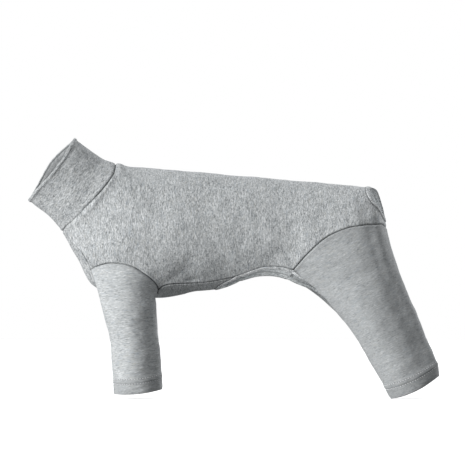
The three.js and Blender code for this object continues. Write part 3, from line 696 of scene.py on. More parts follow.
    def new_leg(self, side, kind):
        """One leg, with the ridge on its outside and the ledge and needle grooves of its hem."""
        size, leg = self.size, LEGS[kind]
        hem = size.hem_depth
        hole = getattr(self.lines[side], leg.hole)
        at = np.concatenate([[0], np.cumsum([STEPS[name] for name in leg.lines])])
        angles = np.radians(np.interp(np.arange(at[-1]), at, leg.marks))
        hole = self.on_side(side, hole)
        beyond = hole + (hole - hole.mean(0)) * LEG_LEAD
        rings = [self.leg_ring(side, kind, ring, angles) for ring in leg.rings]
        lower = hem - size.needle_gap
        close_rows = [*(hem + d for d in HEM_ROWS), *(lower + d for d in NEEDLE_ROWS), *EDGE_ROWS]
        tube = self.tube(hole, beyond, rings, close_rows)
        height = tube.rows[:, None]
        back, out = np.cos(angles), np.sin(angles)
        ridge = bell(back - leg.crest, RIDGE.width)
        ridge = ridge - RIDGE.rear_sink * bell(back - RIDGE.rear, RIDGE.rear_width)
        ridge = ridge * np.maximum(0, out) ** 0.5 * (1 - bell(height[0] - height, RIDGE.reach))
        ridge = ridge * (RIDGE.at_hem + (1 - RIDGE.at_hem) * slope_up(height - hem - RIDGE.above_hem, 5))
        needles = sum(bell(height - needle, HEM.groove_width) for needle in self.needle_heights)
        rise = self.relief(tube.base) + size.leg_ridge * leg.ridge * ridge
        rise = rise - HEM.groove * needles
        rise = rise + HEM.swell * bell(height - hem + size.needle_gap / 2, HEM.swell_width)
        fall = np.exp(-np.maximum(0, height - hem) / HEM.ledge_reach)
        rise = rise - HEM.ledge * slope_up(height - hem - HEM.ledge_at, HEM.ledge_softness) * fall
        rise = rise + HEM.edge_swell * bell(height - HEM.edge_at, HEM.edge_width)
        tube.outer = tube.base + tube.normal * rise[..., None]
        # Painted shade: the turned hem and the lines of its needles are darkened in colour.
        in_hem = slope_up(hem - height, HEM.shade_softness)
        tube.shade = np.clip(tube.shade + HEM.shade * in_hem + HEM.needle_shade * needles, 0, 1)
        tube.turn = hem
        return tube

    @property
    def needle_heights(self):
        """Heights of the two rows of stitches above the edge of a hem."""
        return self.size.hem_depth - HEM.needle_inset, self.size.hem_depth - self.size.needle_gap

    def collar(self):
        """The high collar, whose rim is a fold with a small welt."""
        size = self.size
        neck = np.concatenate([self.body_places[0, :-1], self.belly_places[0, ::-1][:-1]])
        top_start = self.trunk(self.neck_along(0.0), 0.0)
        low_start = self.trunk(self.neck_along(np.pi), np.pi)
        rim = COLLAR[-1]
        ahead = unit(np.array([-(rim[0] + rim[2]), 0, rim[1] + rim[3]]))
        depth, out = depth_of(neck[:, 1]), np.sin(neck[:, 1])
        _, left_lean, right_lean = LEAN_TABLE(depth).T
        lean = right_lean + (left_lean - right_lean) * (1 + out) / 2
        rings = []
        for number, (top_ahead, top_up, low_ahead, low_up, half_width) in enumerate(COLLAR, 1):
            top = top_start + np.array([-top_ahead, 0, top_up]) * size.collar_length
            low = low_start + np.array([-low_ahead, 0, low_up]) * size.collar_length
            ring = top + (low - top) * depth[:, None]
            ring[:, 1] = -half_width * size.collar_width * out
            rings.append(ring + ahead * (lean * size.collar_length * (number / len(COLLAR)) ** 2)[:, None])
        tube = self.tube(neck, neck + (COLLAR_LEAD, 0), rings, EDGE_ROWS)
        height = tube.rows[:, None]
        rise = self.relief(tube.base) + sum(swell * bell(height - at, width) for at, width, swell in RIM_WELT)
        tube.outer = tube.base + tube.normal * rise[..., None]
        tube.turn = tube.rows[0] - COLLAR_INSET
        return tube


# Meshes

# Space between the layers of a fold, the angles of its rounded edge, and how far apart the marl of its
# two layers is read.
FOLD_GAP = 0.15
FOLD_ANGLES = np.linspace(0.25, 2.9, 9)
LAYER_SHIFT = 40.0
# Thickness of a stitch along its length, and how many sides it has.
STITCH_SHAPE = np.array([0.35, 0.9, 1, 1, 0.9, 0.35])
STITCH_SIDES = 6


def folded_shell(tube, cloth, allowance):
    """Closed cloth of a tube whose free edge is folded to the inside, up to tube.turn."""
    rows = tube.rows
    last = len(rows) - 1
    turn = int(np.argmin(np.abs(rows - tube.turn)))
    hidden = int(np.argmin(np.abs(rows - (rows[0] - cloth))))
    radius, halfway = cloth + FOLD_GAP / 2, 0.55 * allowance
    seam_edge = [(0, allowance, 0), (0, halfway, 0)]
    front = [(row, 0, 0) for row in range(last + 1)]
    bend = [(last, radius - radius * math.cos(a), 1.05 * radius * math.sin(a)) for a in FOLD_ANGLES]
    inside = [(row, 2 * cloth + FOLD_GAP, 0) for row in range(last, turn - 1, -1)]
    raw_edge = [(turn - 1, 1.5 * cloth + FOLD_GAP, 0)]
    between = [(row, cloth + FOLD_GAP, 0) for row in range(turn, last + 1)]
    behind = [(row, cloth, 0) for row in range(last, hidden - 1, -1)]
    seam_back = [(hidden, halfway, 0), (hidden, allowance, 0)]
    loop = seam_edge + front + bend + inside + raw_edge + between + behind + seam_back
    points = np.stack([
        tube.outer[row] - tube.normal[row] * inward + tube.beyond * out for row, inward, out in loop
    ])
    is_inside = np.arange(len(loop)) >= len(seam_edge + front + bend) - 1
    inside_shade = np.repeat(is_inside[:, None], tube.shade.shape[1], 1)
    down = np.array([
        rows[row] + (-out if inward < radius else out) + (LAYER_SHIFT if inward > cloth else 0)
        for row, inward, out in loop
    ])
    around = distances_along(closed(np.moveaxis(points, 1, 0))).mean(1)
    spots = np.stack(np.broadcast_arrays(around[None, :], down[:, None]), -1)
    return points, spots, (tube.shade[[row for row, _, _ in loop]], inside_shade)


def quads_of(rows, columns, closed_rows, closed_columns):
    """Corner numbers of the faces of a grid, and the numbers of their places on the cloth."""
    r = np.arange(rows if closed_rows else rows - 1)[:, None]
    c = np.arange(columns if closed_columns else columns - 1)[None, :]
    r2, c2 = (r + 1) % rows, (c + 1) % columns
    corner = np.stack([r * columns + c, r2 * columns + c, r2 * columns + c2, r * columns + c2], -1)
    width = columns + 1 if closed_columns else columns
    spot = np.stack([r * width + c, r2 * width + c, r2 * width + c + 1, r * width + c + 1], -1)
    return corner.reshape(-1, 4), spot.reshape(-1, 4)


def panel_shell(panel, cloth):
    """Closed cloth of a panel: its outer side, its inner side and its four edges."""
    outer = panel.outer
    rows, columns = outer.shape[:2]
    grid, _ = quads_of(rows, columns, False, False)
    count = rows * columns
    front, left = np.arange(columns), np.arange(rows) * columns

    def wall(line):
        return np.stack([line[:-1], line[1:], line[1:] + count, line[:-1] + count], -1)

    faces = np.concatenate([
        grid, grid[:, ::-1] + count, wall(front), wall(front + (rows - 1) * columns)[:, ::-1],
        wall(left)[:, ::-1], wall(left + columns - 1),
    ])
    points = np.concatenate([outer.reshape(-1, 3), (outer - panel.normal * cloth).reshape(-1, 3)])
    across = distances_along(np.moveaxis(panel.base[..., 1:], 1, 0)).T
    across = across - across[:, columns // 2: columns // 2 + 1]
    spots = np.stack([across, panel.base[..., 0]], -1).reshape(-1, 2)
    shade = (np.tile(panel.shade.ravel(), 2), np.repeat([0, 1], panel.shade.size))
    return points, faces, np.concatenate([spots, spots + (0, LAYER_SHIFT)])[faces.ravel()], shade


def add_piece(name, points, faces, spots, material, node=None, shade=()):
    """Makes a smooth mesh from millimetres, rides it on the suit and lets it stand for its node.

    Spots are places on the cloth, one for each corner of each face. Faces that enclose a negative
    volume are turned round.
    """
    a, b, c, d = (points[faces[:, k]] for k in range(4))
    if (np.cross(b - a, c - a) * a).sum() + (np.cross(c - a, d - a) * a).sum() <= 0:
        faces, spots = faces[:, ::-1], spots.reshape(-1, 4, 2)[:, ::-1]
    mesh = bpy.data.meshes.new(name)
    mesh.vertices.add(len(points))
    mesh.vertices.foreach_set("co", (points * 0.001).astype(np.float32).ravel())
    mesh.loops.add(faces.size)
    mesh.loops.foreach_set("vertex_index", faces.astype(np.int32).ravel())
    mesh.polygons.add(len(faces))
    mesh.polygons.foreach_set("loop_start", np.arange(0, faces.size, 4, dtype=np.int32))
    mesh.polygons.foreach_set("use_smooth", np.ones(len(faces), bool))
    layer = mesh.uv_layers.new(name="Cloth")
    layer.uv.foreach_set("vector", (spots * 0.001).astype(np.float32).ravel())
    for attribute, values in zip(("Groove", "Inside"), shade):
        data = mesh.attributes.new(attribute, "FLOAT", "POINT").data
        data.foreach_set("value", values.astype(np.float32).ravel())
    mesh.update(calc_edges=True)
    mesh.materials.append(material)
    piece = bpy.data.objects.new(name, mesh)
    bpy.context.scene.collection.objects.link(piece)
    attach(piece, "root")
    if node:
        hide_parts(node)
    return piece


def tube_piece(name, tube, size, material, node):
    points, spots, shade = folded_shell(tube, size.cloth, size.allowance)
    faces, places = quads_of(*points.shape[:2], True, True)
    spots = spots.reshape(-1, 2)[places.ravel()]
    return add_piece(name, points.reshape(-1, 3), faces, spots, material, node, shade)


def stitches(line, normal, length, space, width, lift):
    """Short bowed threads along a closed line on the cloth, as points and faces."""
    far = distances_along(closed(line))
    count = max(3, round(far[-1] / (length + space)))
    t = np.linspace(0, 1, len(STITCH_SHAPE))
    at = (np.arange(count)[:, None] + t * length / (length + space)) * far[-1] / count
    path, up = read_at(at, far, closed(line)), unit(read_at(at, far, closed(normal)))
    bow = np.sin(np.pi * t)[None, :, None]
    path = path + up * (lift * bow ** 0.5 - 0.25 * (1 - bow))
    along = unit(np.gradient(path, axis=1))
    side = unit(np.cross(along, up))[:, :, None]
    up = np.cross(side, along[:, :, None])
    turn = np.linspace(0, 2 * np.pi, STITCH_SIDES + 1)[:-1, None]
    thick = width / 2 * STITCH_SHAPE[:, None, None]
    points = path[:, :, None] + thick * (np.cos(turn) * side * 1.15 + np.sin(turn) * up)
    faces, _ = quads_of(len(t), STITCH_SIDES, False, True)
    caps = np.array([[0, 1, 2, 3], [0, 3, 4, 5], [33, 32, 31, 30], [35, 34, 33, 30]])
    starts = np.arange(count) * len(t) * STITCH_SIDES
    return points.reshape(-1, 3), (np.concatenate([faces, caps]) + starts[:, None, None]).reshape(-1, 4)


def add_threads(name, runs, material):
    """One piece from several runs of stitches."""
    starts = np.cumsum([0] + [len(points) for points, _ in runs])
    points = np.concatenate([run_points for run_points, _ in runs])
    faces = np.concatenate([run_faces + start for (_, run_faces), start in zip(runs, starts)])
    return add_piece(name, points, faces, points[faces.ravel()][:, (0, 2)], material)


def line_at(tube, height):
    """Points and normals of a tube's outer side at one height above its free edge."""
    def read(values):
        columns = range(values.shape[1])
        return np.array([read_at(height, tube.rows[::-1], values[::-1, column]) for column in columns])

    return read(tube.outer), unit(read(tube.normal))


def binding_rows(edge, normal, size):
    """A strip wrapped round the edge of an opening, with its own edges turned under on both sides."""
    out = unit(np.cross(np.roll(edge, -1, 0) - np.roll(edge, 1, 0), normal))
    for _ in range(12):
        out = unit(blended(out))
    thin, half = size.binding_cloth, size.binding_thickness / 2
    wide = size.binding_width + size.binding_bite
    path = [
        (wide - 1.5, half - 2.1 * thin), (0.9, half - 1.9 * thin), (0.25, half - 1.3 * thin),
        (0.3, half - 0.65 * thin), (0.9, half - 0.5 * thin), (wide / 2, half - 0.42 * thin),
        (wide - 0.9, half - 0.5 * thin), (wide - 0.3, half - 0.9 * thin), (wide + 0.05, half * 0.4),
    ]
    path += [(wide + 0.12, 0)] + [(o, -n) for o, n in reversed(path)]
    middle = smooth_curve(np.array(path)[:, None, :], np.linspace(0, 1, 37))[:, 0, :]
    ahead = np.gradient(middle, axis=0)
    across = unit(np.stack([-ahead[:, 1], ahead[:, 0]], -1)) * thin / 2
    loop = np.concatenate([middle + across, (middle - across)[::-1]])
    far = distances_along(closed(edge))[:-1]
    beat = 0.1 * np.sin(2 * np.pi * far / 2.75) + 0.06 * np.sin(far / 7.1)
    bulge = np.clip(np.abs(loop[:, 1]) - half * 0.4, 0, 1) * np.sign(loop[:, 1])
    start = edge - normal * size.cloth / 2 - out * size.binding_bite
    points = start[:, None] + out[:, None] * loop[None, :, :1]
    points = points + normal[:, None] * (loop[:, 1] + bulge * beat[:, None])[..., None]
    return points, out, distances_along(closed(loop))


# Shader maths

# Distances in millimetres between the wales and between the courses of the knit.
WALE_PITCH, COURSE_PITCH = 1.15, 0.95


def opaque(colour, share=1.0):
    return tuple(min(1.0, share * c) for c in colour) + (1,)


def new_material(name):
    material = bpy.data.materials.new(name)
    material.use_nodes = True
    return material, material.node_tree


def node_of(tree, kind):
    """The one node of a kind that a new tree comes with."""
    return next(node for node in tree.nodes if node.type == kind)


def add_node(tree, kind, settings=None, sockets=None):
    """Adds a node of one type. Its settings are set first, then the values or links of its sockets."""
    made = tree.nodes.new(kind)
    for name, value in (settings or {}).items():
        setattr(made, name, value)
    plug(tree, made, sockets or {})
    return made


def plug(tree, node, sockets):
    """Sets each socket of a node to a value, or links it to where the value comes from."""
    for key, value in sockets.items():
        source = getattr(value, "socket", value)
        if isinstance(source, bpy.types.NodeSocket):
            tree.links.new(source, node.inputs[key])
        else:
            node.inputs[key].default_value = value


def mix_for_camera(tree, seen, unseen, output):
    """Shows one shader to the camera and another to every other ray."""
    ray = add_node(tree, "ShaderNodeLightPath").outputs["Is Camera Ray"]
    mixed = add_node(tree, "ShaderNodeMixShader", sockets={0: ray, 1: unseen.outputs[0], 2: seen.outputs[0]})
    plug(tree, node_of(tree, output), {"Surface": mixed.outputs[0]})


class Shade:
    """A number in a shader. Arithmetic on it adds Math nodes."""

    def __init__(self, tree, socket):
        self.tree, self.socket = tree, socket

    def maths(self, operation, *terms):
        made = add_node(self.tree, "ShaderNodeMath", {"operation": operation}, dict(enumerate(terms)))
        return Shade(self.tree, made.outputs[0])

    def __add__(self, other):
        return self.maths("ADD", self, other)

    def __sub__(self, other):
        return self.maths("SUBTRACT", self, other)

    def __rsub__(self, other):
        return self.maths("SUBTRACT", other, self)

    def __mul__(self, other):
        return self.maths("MULTIPLY", self, other)

    def __pow__(self, other):
        return self.maths("POWER", self, other)

    def __abs__(self):
        return self.maths("ABSOLUTE", self)

    __radd__, __rmul__ = __add__, __mul__

    def sine(self):
        return self.maths("SINE", self)

    def above(self, low, high):
        """0 below low, 1 above high and smooth between."""
        sockets = {"Value": self, "From Min": low, "From Max": high}
        made = add_node(self.tree, "ShaderNodeMapRange", {"interpolation_type": "SMOOTHSTEP"}, sockets)
        return Shade(self.tree, made.outputs["Result"])


class Knit:
    """Builds the marl knit, whose streaks run across the grain."""

    def __init__(self, name, colours, grain, tone=1.0, contrast=1.0, lining=1.3, reach=1.0):
        self.material, self.tree = new_material(name)
        self.grain, self.lining, self.reach = Vector(grain).normalized(), lining, reach
        place = add_node(self.tree, "ShaderNodeTexCoord")
        self.place = self.vector("SCALE", place.outputs["Object"], scale=1000.0)
        self.spot = add_node(self.tree, "ShaderNodeSeparateXYZ", sockets={0: place.outputs["UV"]})
        self.paint(colours, tone, contrast)

    def vector(self, operation, a, b=None, scale=None):
        sockets = {0: a, 1: b, "Scale": scale}
        sockets = {key: value for key, value in sockets.items() if value is not None}
        made = add_node(self.tree, "ShaderNodeVectorMath", {"operation": operation}, sockets)
        return made.outputs["Value" if operation == "DOT_PRODUCT" else "Vector"]

    def streaks(self, long, short, detail=1.0, seed=0.0):
        """Noise in marks that are long across the grain and short along it, in millimetres."""
        along = Shade(self.tree, self.vector("DOT_PRODUCT", self.place, tuple(self.grain)))
        grain = self.vector("SCALE", tuple(self.grain), scale=along * (1 / short - 1 / long))
        whole = self.vector("ADD", self.vector("SCALE", self.place, scale=1 / long), grain)
        whole = self.vector("ADD", whole, (seed, seed * 0.7, seed * 1.3))
        sockets = {"Vector": whole, "Scale": 1.0, "Detail": detail, "Roughness": 0.55}
        return Shade(self.tree, add_node(self.tree, "ShaderNodeTexNoise", sockets=sockets).outputs[0])

    def mixed(self, factor, a, b):
        """Colour a where the factor is 0 and b where it is 1."""
        return add_node(self.tree, "ShaderNodeMix", {"data_type": "RGBA"}, {0: factor, 6: a, 7: b}).outputs[2]

    def attribute(self, name):
        made = add_node(self.tree, "ShaderNodeAttribute", {"attribute_name": name})
        return Shade(self.tree, made.outputs["Fac"])

    def paint(self, colours, tone, contrast):
        """Streaks of light and dark yarn with coloured flecks and the loops of the knit, with painted shade
        between the wales, in seams, under band rims and on hems, and painted light or shade on the inner
        faces.
        """
        tree = self.tree
        names = ("light_yarn", "middle_yarn", "dark_yarn", "warm_fleck", "cool_fleck")
        # Tone scales every yarn colour: painted light and shade for this piece.
        light, middle, dark, warm, cool = (opaque(getattr(colours, name), tone) for name in names)
        fine = self.streaks(5.5 * self.reach, 1.12, 2.0, 3.1)
        short = self.streaks(2.2 * self.reach, 0.95, 1.0, 11.7)
        broad = self.streaks(15, 3.2, 2.0, 23.9)
        cloudy = self.streaks(60, 26, 2.0, 41.3)
        level = (fine - 0.5) * 1.5 + (short - 0.5) * 1.6 + (broad - 0.5) * 0.55 + (cloudy - 0.5) * 0.35
        level = 0.5 + level * contrast
        colour = self.mixed(level.above(0.02, 0.55), dark, middle)
        colour = self.mixed(level.above(0.5, 0.98), colour, light)
        colour = self.mixed(self.streaks(8, 0.9, 1.0, 57.7).above(0.6, 0.74) * 0.5, colour, warm)
        colour = self.mixed(self.streaks(9, 1.0, 1.0, 71.9).above(0.58, 0.74) * 0.5, colour, cool)
        across, down = (Shade(tree, self.spot.outputs[k]) for k in (0, 1))
        wale = abs((across * (math.pi * 1000 / WALE_PITCH)).sine())
        course = (down * (2 * math.pi * 1000 / COURSE_PITCH) + wale * 2.2).sine()
        # Painted shade in the hollows between the wales.
        colour = self.mixed((1 - wale) ** 3.0 * 0.28, colour, dark)
        # Painted light and shade on the inner faces: lighter inside the body and legs, darker inside the
        # collar.
        colour = self.mixed(self.attribute("Inside") * 0.55, colour, opaque(middle[:3], self.lining))
        # Painted shade: seams, band rims and hems are darkened towards the dark yarn where shade falls.
        colour = self.mixed(self.attribute("Groove") * 0.8, colour, opaque(dark[:3], 0.22))
        height = (wale * 0.62 + course * 0.38) * 0.12 + fine * 0.1 + short * 0.05
        sockets = {"Strength": 0.55, "Distance": 0.001, "Height": height}
        bump = add_node(tree, "ShaderNodeBump", sockets=sockets)
        plug(tree, node_of(tree, "BSDF_PRINCIPLED"), {
            "Base Color": colour, "Roughness": 0.98 - level * 0.16, "Normal": bump.outputs[0],
            "Specular IOR Level": 0.22, "Sheen Weight": 0.16, "Sheen Roughness": 0.42,
            "Sheen Tint": (0.93, 0.95, 1.0, 1.0),
        })


def thread_material(name, colour):
    """Spun sewing thread: fine twist lines and slightly uneven tone."""
    material, tree = new_material(name)
    place = add_node(tree, "ShaderNodeTexCoord")
    twist = add_node(tree, "ShaderNodeTexNoise", sockets={"Vector": place.outputs["Object"], "Scale": 2600.0})
    tone = Shade(tree, twist.outputs[0])
    sockets = {0: tone.above(0.3, 0.7), 6: opaque(colour, 0.72), 7: opaque(colour, 1.2)}
    mixed = add_node(tree, "ShaderNodeMix", {"data_type": "RGBA"}, sockets)
    bump = add_node(tree, "ShaderNodeBump", sockets={"Strength": 0.4, "Distance": 0.0003, "Height": tone})
    plug(tree, node_of(tree, "BSDF_PRINCIPLED"), {
        "Base Color": mixed.outputs[2], "Normal": bump.outputs[0], "Roughness": 0.72, "Sheen Weight": 0.1,
    })
    return material


# Settings

def length(name, description, millimetres, low=0.0):
    return FloatProperty(
        name=name, description=description, default=millimetres / 1000, min=low,
        subtype="DISTANCE", unit="LENGTH", precision=4,
    )


def number(name, description, value):
    return FloatProperty(name=name, description=description, default=value)


def colour(name, description, value):
    return FloatVectorProperty(
        name=name, description=description, default=value, size=3, min=0.0, max=1.0, subtype="COLOR"
    )


class JumpsuitSizes(bpy.types.PropertyGroup):
    """Sizes of the suit."""

    back_length: length("Back length", "Neck seam to tail opening, along the back", 331)
    chest_depth: length("Chest depth", "Back to underside of the chest", 168.5)
    chest_width: length("Chest width", "Widest part of the chest, side to side", 128)
    keel: number("Keel", "How much a trunk section narrows below its middle", 0.09)
    collar_length: length("Collar length", "Neck seam to folded rim", 60)
    collar_width: length("Collar width", "Side to side at the rim", 77)
    front_length: length("Front leg length", "Underside of the chest to the hem", 120.5)
    front_cuff_depth: length("Front cuff depth", "Front to rear at the hem", 63.2)
    front_cuff_width: length("Front cuff width", "Side to side at the hem", 54)
    front_stance: length("Front stance", "Midline to the middle of a front hem", 43)
    hind_length: length("Hind leg length", "Crotch to the hem", 131.7)
    hind_cuff_depth: length("Hind cuff depth", "Front to rear at the hem", 69.2)
    hind_cuff_width: length("Hind cuff width", "Side to side at the hem", 56)
    hind_stance: length("Hind stance", "Midline to the middle of a hind hem", 45)
    cloth: length("Cloth thickness", "One layer of knit", 1.3)
    leg_ridge: length("Leg ridge", "How far the outside of a leg stands out ahead of its middle", 3.8)
    hem_depth: length("Hem depth", "Height of the turned hem", 18.5)
    needle_gap: length("Needle gap", "Between the two rows of hem stitching", 6.4)
    allowance: length("Seam allowance", "Cloth turned to the inside at a seam", 4.5)
    binding_width: length("Binding width", "Band round the tail and belly openings", 3.5)
    binding_thickness: length("Binding thickness", "Thickness of the folded band", 3)
    binding_bite: length("Binding bite", "How much of the cloth's edge a band takes in", 1.4)
    binding_cloth: length("Binding cloth", "One layer of the thin strip round an opening", 0.7)
    seam_depth: length("Seam depth", "How far the cloth dips at a seam", 2)
    seam_crest: length("Seam crest", "How far the cloth swells beside a seam", 0.4)
    pucker: length("Pucker", "Height of the small waves along a seam", 0.22)
    stitch_length: length("Stitch length", "One stitch of the hems", 2.7)
    thread: length("Thread", "Thickness of the sewing thread", 0.75)


class JumpsuitColours(bpy.types.PropertyGroup):
    """Colours of the yarns and threads."""

    light_yarn: colour("Light yarn", "Palest fibres of the marl", (0.62, 0.635, 0.64))
    middle_yarn: colour("Middle yarn", "Most of the marl", (0.4, 0.415, 0.42))
    dark_yarn: colour("Dark yarn", "Darkest fibres of the marl", (0.17, 0.18, 0.185))
    warm_fleck: colour("Warm fleck", "Olive grey streaks", (0.4, 0.39, 0.35))
    cool_fleck: colour("Cool fleck", "Blue grey streaks", (0.3, 0.34, 0.38))
    thread: colour("Thread", "Sewing thread of the hems and bindings", (0.78, 0.79, 0.8))


class JumpsuitStage(bpy.types.PropertyGroup):
    """Camera, light and floor."""

    framed_width: length("Framed width", "Width of what the camera sees at the suit", 604.8)
    centre_x: length("Centre ahead", "Middle of the view along the suit", -13.3, low=-1.0)
    centre_z: length("Centre up", "Middle of the view in height", -72.0, low=-1.0)
    key_light: number("Key light", "Power of the main soft light", 3.3)
    rim_light: number("Rim light", "Power of the light from the rear right", 0.9)
    far_light: number("Far light", "Power of the light on the far side and the rear", 1.3)
    low_light: number("Low light", "Power of the light from below the front", 0.75)
    inner_glow: number("Inner glow", "Light that comes through the knit to its inside, as a share", 0.36)
    ambient: number("Ambient", "Strength of the light from all round", 0.29)
    floor: colour("Floor", "Colour of the floor", (0.9, 0.9, 0.9))
    floor_glow: number("Floor glow", "Light that lifts the floor to the backdrop", 0.5)


# Suns: the direction that they shine from, and how wide they look in degrees.
SUNS = {
    "key_light": ((-0.79, -0.53, 0.31), 22),
    "rim_light": ((0.53, 0.37, 0.77), 20),
    "far_light": ((0.6, 0.77, 0.22), 35),
    "low_light": ((-0.72, -0.39, -0.57), 30),
}
# Small lamps inside the suit: place and power.
GLOWS = {"waist_glow": ((0.062, -0.012, -0.102), 0.2), "rump_glow": ((0.135, 0, -0.06), 0.07)}
FLOOR_RADIUS, FLOOR_SIDES = 9, 64
# The floor's share of its colour in the light that it throws back at the suit.
FLOOR_BOUNCE = 0.3

# Space between the stitches of a hem, and how far they stand up.
HEM_STITCH_SPACE, HEM_STITCH_LIFT = 0.9, 0.42
# Stitches of a band: length, space, thickness by that of the thread, lift, distance from the cloth's edge.
BAND_STITCH = SimpleNamespace(length=2.1, space=0.7, thread=0.75, lift=0.12, inset=1.2, sunk=0.1)
# Step along a band in millimetres, and how often its line and its normals are smoothed.
BAND_STEP, BAND_LINE_PASSES, BAND_NORMAL_PASSES = 1.0, 16, 60

KEPT_SUIT = {}


def suit_of(context):
    """The suit for the current sizes, worked out once."""
    size = suit_sizes(context.scene.jumpsuit_sizes)
    key = tuple(sorted(vars(size).items()))
    if key not in KEPT_SUIT:
        KEPT_SUIT.clear()
        KEPT_SUIT[key] = Suit(size)
    return KEPT_SUIT[key]


class PieceOperator:
    """What the piece operators share."""

    bl_options = {"REGISTER", "UNDO"}

    # Each piece gets its own copy of the knit; the tone given to it is painted light and shade, lighter or
    # darker piece by piece as the lights fall on it.
    @staticmethod
    def knit(context, name, grain, **looks):
        return Knit(name, context.scene.jumpsuit_colours, grain, **looks).material

    @staticmethod
    def thread(context):
        found = bpy.data.materials.get("sewing_thread")
        return found or thread_material("sewing_thread", tuple(context.scene.jumpsuit_colours.thread))

    @staticmethod
    def panel(name, panel, cloth, material, slot, node):
        points, faces, spots, shade = panel_shell(panel, cloth)
        return add_piece(name, points, faces, spots, material, node, shade)

    def legs(self, context, kind, piece_end, node_end, knit, flat, area):
        """Both legs of a kind, and the stitching of their hems."""
        suit = suit_of(context)
        size, slot = suit.size, f"{node_end}_knit"
        for side in SIDES:
            tube = suit.leg(side, kind)
            name = f"{side}_{piece_end}"
            piece = tube_piece(f"{name}_cloth", tube, size, knit, f"{side}_{node_end}")
            thread = (size.stitch_length, HEM_STITCH_SPACE, size.thread, HEM_STITCH_LIFT)
            runs = [stitches(*line_at(tube, height), *thread) for height in suit.needle_heights]
            threads = add_threads(f"{name}_stitching", runs, self.thread(context))
        return {"FINISHED"}


class JUMPSUIT_OT_collar(PieceOperator, bpy.types.Operator):
    """Make the high collar, folded double"""

    bl_idname = "jumpsuit.collar"
    bl_label = "Collar"

    def execute(self, context):
        suit = suit_of(context)
        # The collar's inner faces get painted shade.
        knit = self.knit(context, "collar_marl", (-0.78, 0, 0.62), tone=1.12, lining=0.45)
        piece = tube_piece("collar_cloth", suit.collar(), suit.size, knit, "neck_collar")
        return {"FINISHED"}


class JUMPSUIT_OT_body(PieceOperator, bpy.types.Operator):
    """Make the panel over the back and sides"""

    bl_idname = "jumpsuit.body"
    bl_label = "Body panel"

    def execute(self, context):
        suit = suit_of(context)
        knit = self.knit(context, "body_marl", (1, 0, 0), tone=1.18)
        piece = self.panel("body_cloth", suit.body_panel, suit.size.cloth, knit, "body_knit", "body_panel")
        return {"FINISHED"}


class JUMPSUIT_OT_belly(PieceOperator, bpy.types.Operator):
    """Make the panel under the chest and belly"""

    bl_idname = "jumpsuit.belly"
    bl_label = "Chest and belly panel"

    def execute(self, context):
        suit = suit_of(context)
        knit = self.knit(context, "belly_marl", (1, 0, 0), tone=1.12)
        cloth, node = suit.size.cloth, "chest_belly_panel"
        piece = self.panel("chest_belly_cloth", suit.belly_panel, cloth, knit, "belly_knit", node)
        return {"FINISHED"}


class JUMPSUIT_OT_sleeves(PieceOperator, bpy.types.Operator):
    """Make both front sleeves and the stitching of their hems"""

    bl_idname = "jumpsuit.sleeves"
    bl_label = "Front sleeves"

    def execute(self, context):
        knit = self.knit(context, "sleeve_marl", (0.1, 0, -1), tone=1.25, contrast=0.6, reach=1.7)
        return self.legs(
            context, "front", "sleeve", "front_sleeve", knit, flat=(0.215, 0.19), area=0.031
        )


class JUMPSUIT_OT_legs(PieceOperator, bpy.types.Operator):
    """Make both hind legs and the stitching of their hems"""

    bl_idname = "jumpsuit.legs"
    bl_label = "Hind legs"

    def execute(self, context):
        knit = self.knit(context, "leg_marl", (0.45, 0, -0.9), contrast=0.52, reach=1.5)
        return self.legs(context, "hind", "leg", "hind_leg", knit, flat=(0.29, 0.26), area=0.052)


class JUMPSUIT_OT_bindings(PieceOperator, bpy.types.Operator):
    """Make the bands round the tail and belly openings, and their stitching"""

    bl_idname = "jumpsuit.bindings"
    bl_label = "Bindings"

    def execute(self, context):
        suit = suit_of(context)
        size, body, belly = suit.size, suit.body_panel, suit.belly_panel
        first = STEPS["chest"] + STEPS["outer"] + STEPS["belly"]
        span = slice(first, first + STEPS["opening"] + 1)
        hem = slice(STEPS["hind"] + STEPS["back"], None)

        def round_belly(part):
            """The edge from the left side's front end, back round both legs, and along the under panel."""
            left, right = (
                np.concatenate([
                    getattr(body, part)[span, column], getattr(suit.leg(side, "hind"), part)[0, hem][::-1]
                ])
                for side, column in (("left", 0), ("right", -1))
            )
            return np.concatenate([left, right[::-1][1:], getattr(belly, part)[-1][::-1][1:-1]])

        tail, tail_normal = body.outer[-1, :-1], body.normal[-1, :-1]
        bands = (
            ("belly", round_belly("outer"), round_belly("normal"), (0.0195, 0.385)),
            ("tail", tail, tail_normal, (0.0195, 0.165)),
        )
        for place, line, up, flat in bands:
            name, slot = f"{place}_binding_cloth", f"{place}_binding_knit"
            line, up = self.evened(line, up)
            rows, out, turn = binding_rows(line, up, size)
            # The bands' high tone is painted light that lifts their shaded edges.
            knit = self.knit(context, f"{name}_marl", (0, 0, 1), tone=1.3)
            faces, places = quads_of(*rows.shape[:2], True, True)
            spots = np.stack(np.meshgrid(distances_along(closed(line)), turn, indexing="ij"), -1)
            spots = spots.reshape(-1, 2)[places.ravel()]
            points = rows.reshape(-1, 3)
            piece = add_piece(name, points, faces, spots, knit, f"{place}_opening_binding")
            above = size.binding_thickness / 2 - size.cloth / 2 - BAND_STITCH.sunk
            seat = line + out * (BAND_STITCH.inset - size.binding_bite) + up * above
            thick = size.thread * BAND_STITCH.thread
            run = stitches(seat, up, BAND_STITCH.length, BAND_STITCH.space, thick, BAND_STITCH.lift)
            threads = add_threads(name.replace("cloth", "stitching"), [run], self.thread(context))
        return {"FINISHED"}

    @staticmethod
    def evened(line, up):
        """A closed line and its normals at even steps, smoothed along it."""
        far = distances_along(closed(line))
        at = np.linspace(0, far[-1], round(far[-1] / BAND_STEP) + 1)[:-1]
        points, normals = read_at(at, far, closed(line)), read_at(at, far, closed(up))
        for _ in range(BAND_LINE_PASSES):
            points = blended(points) / 4
        for _ in range(BAND_NORMAL_PASSES):
            normals = unit(blended(normals))
        return points, normals


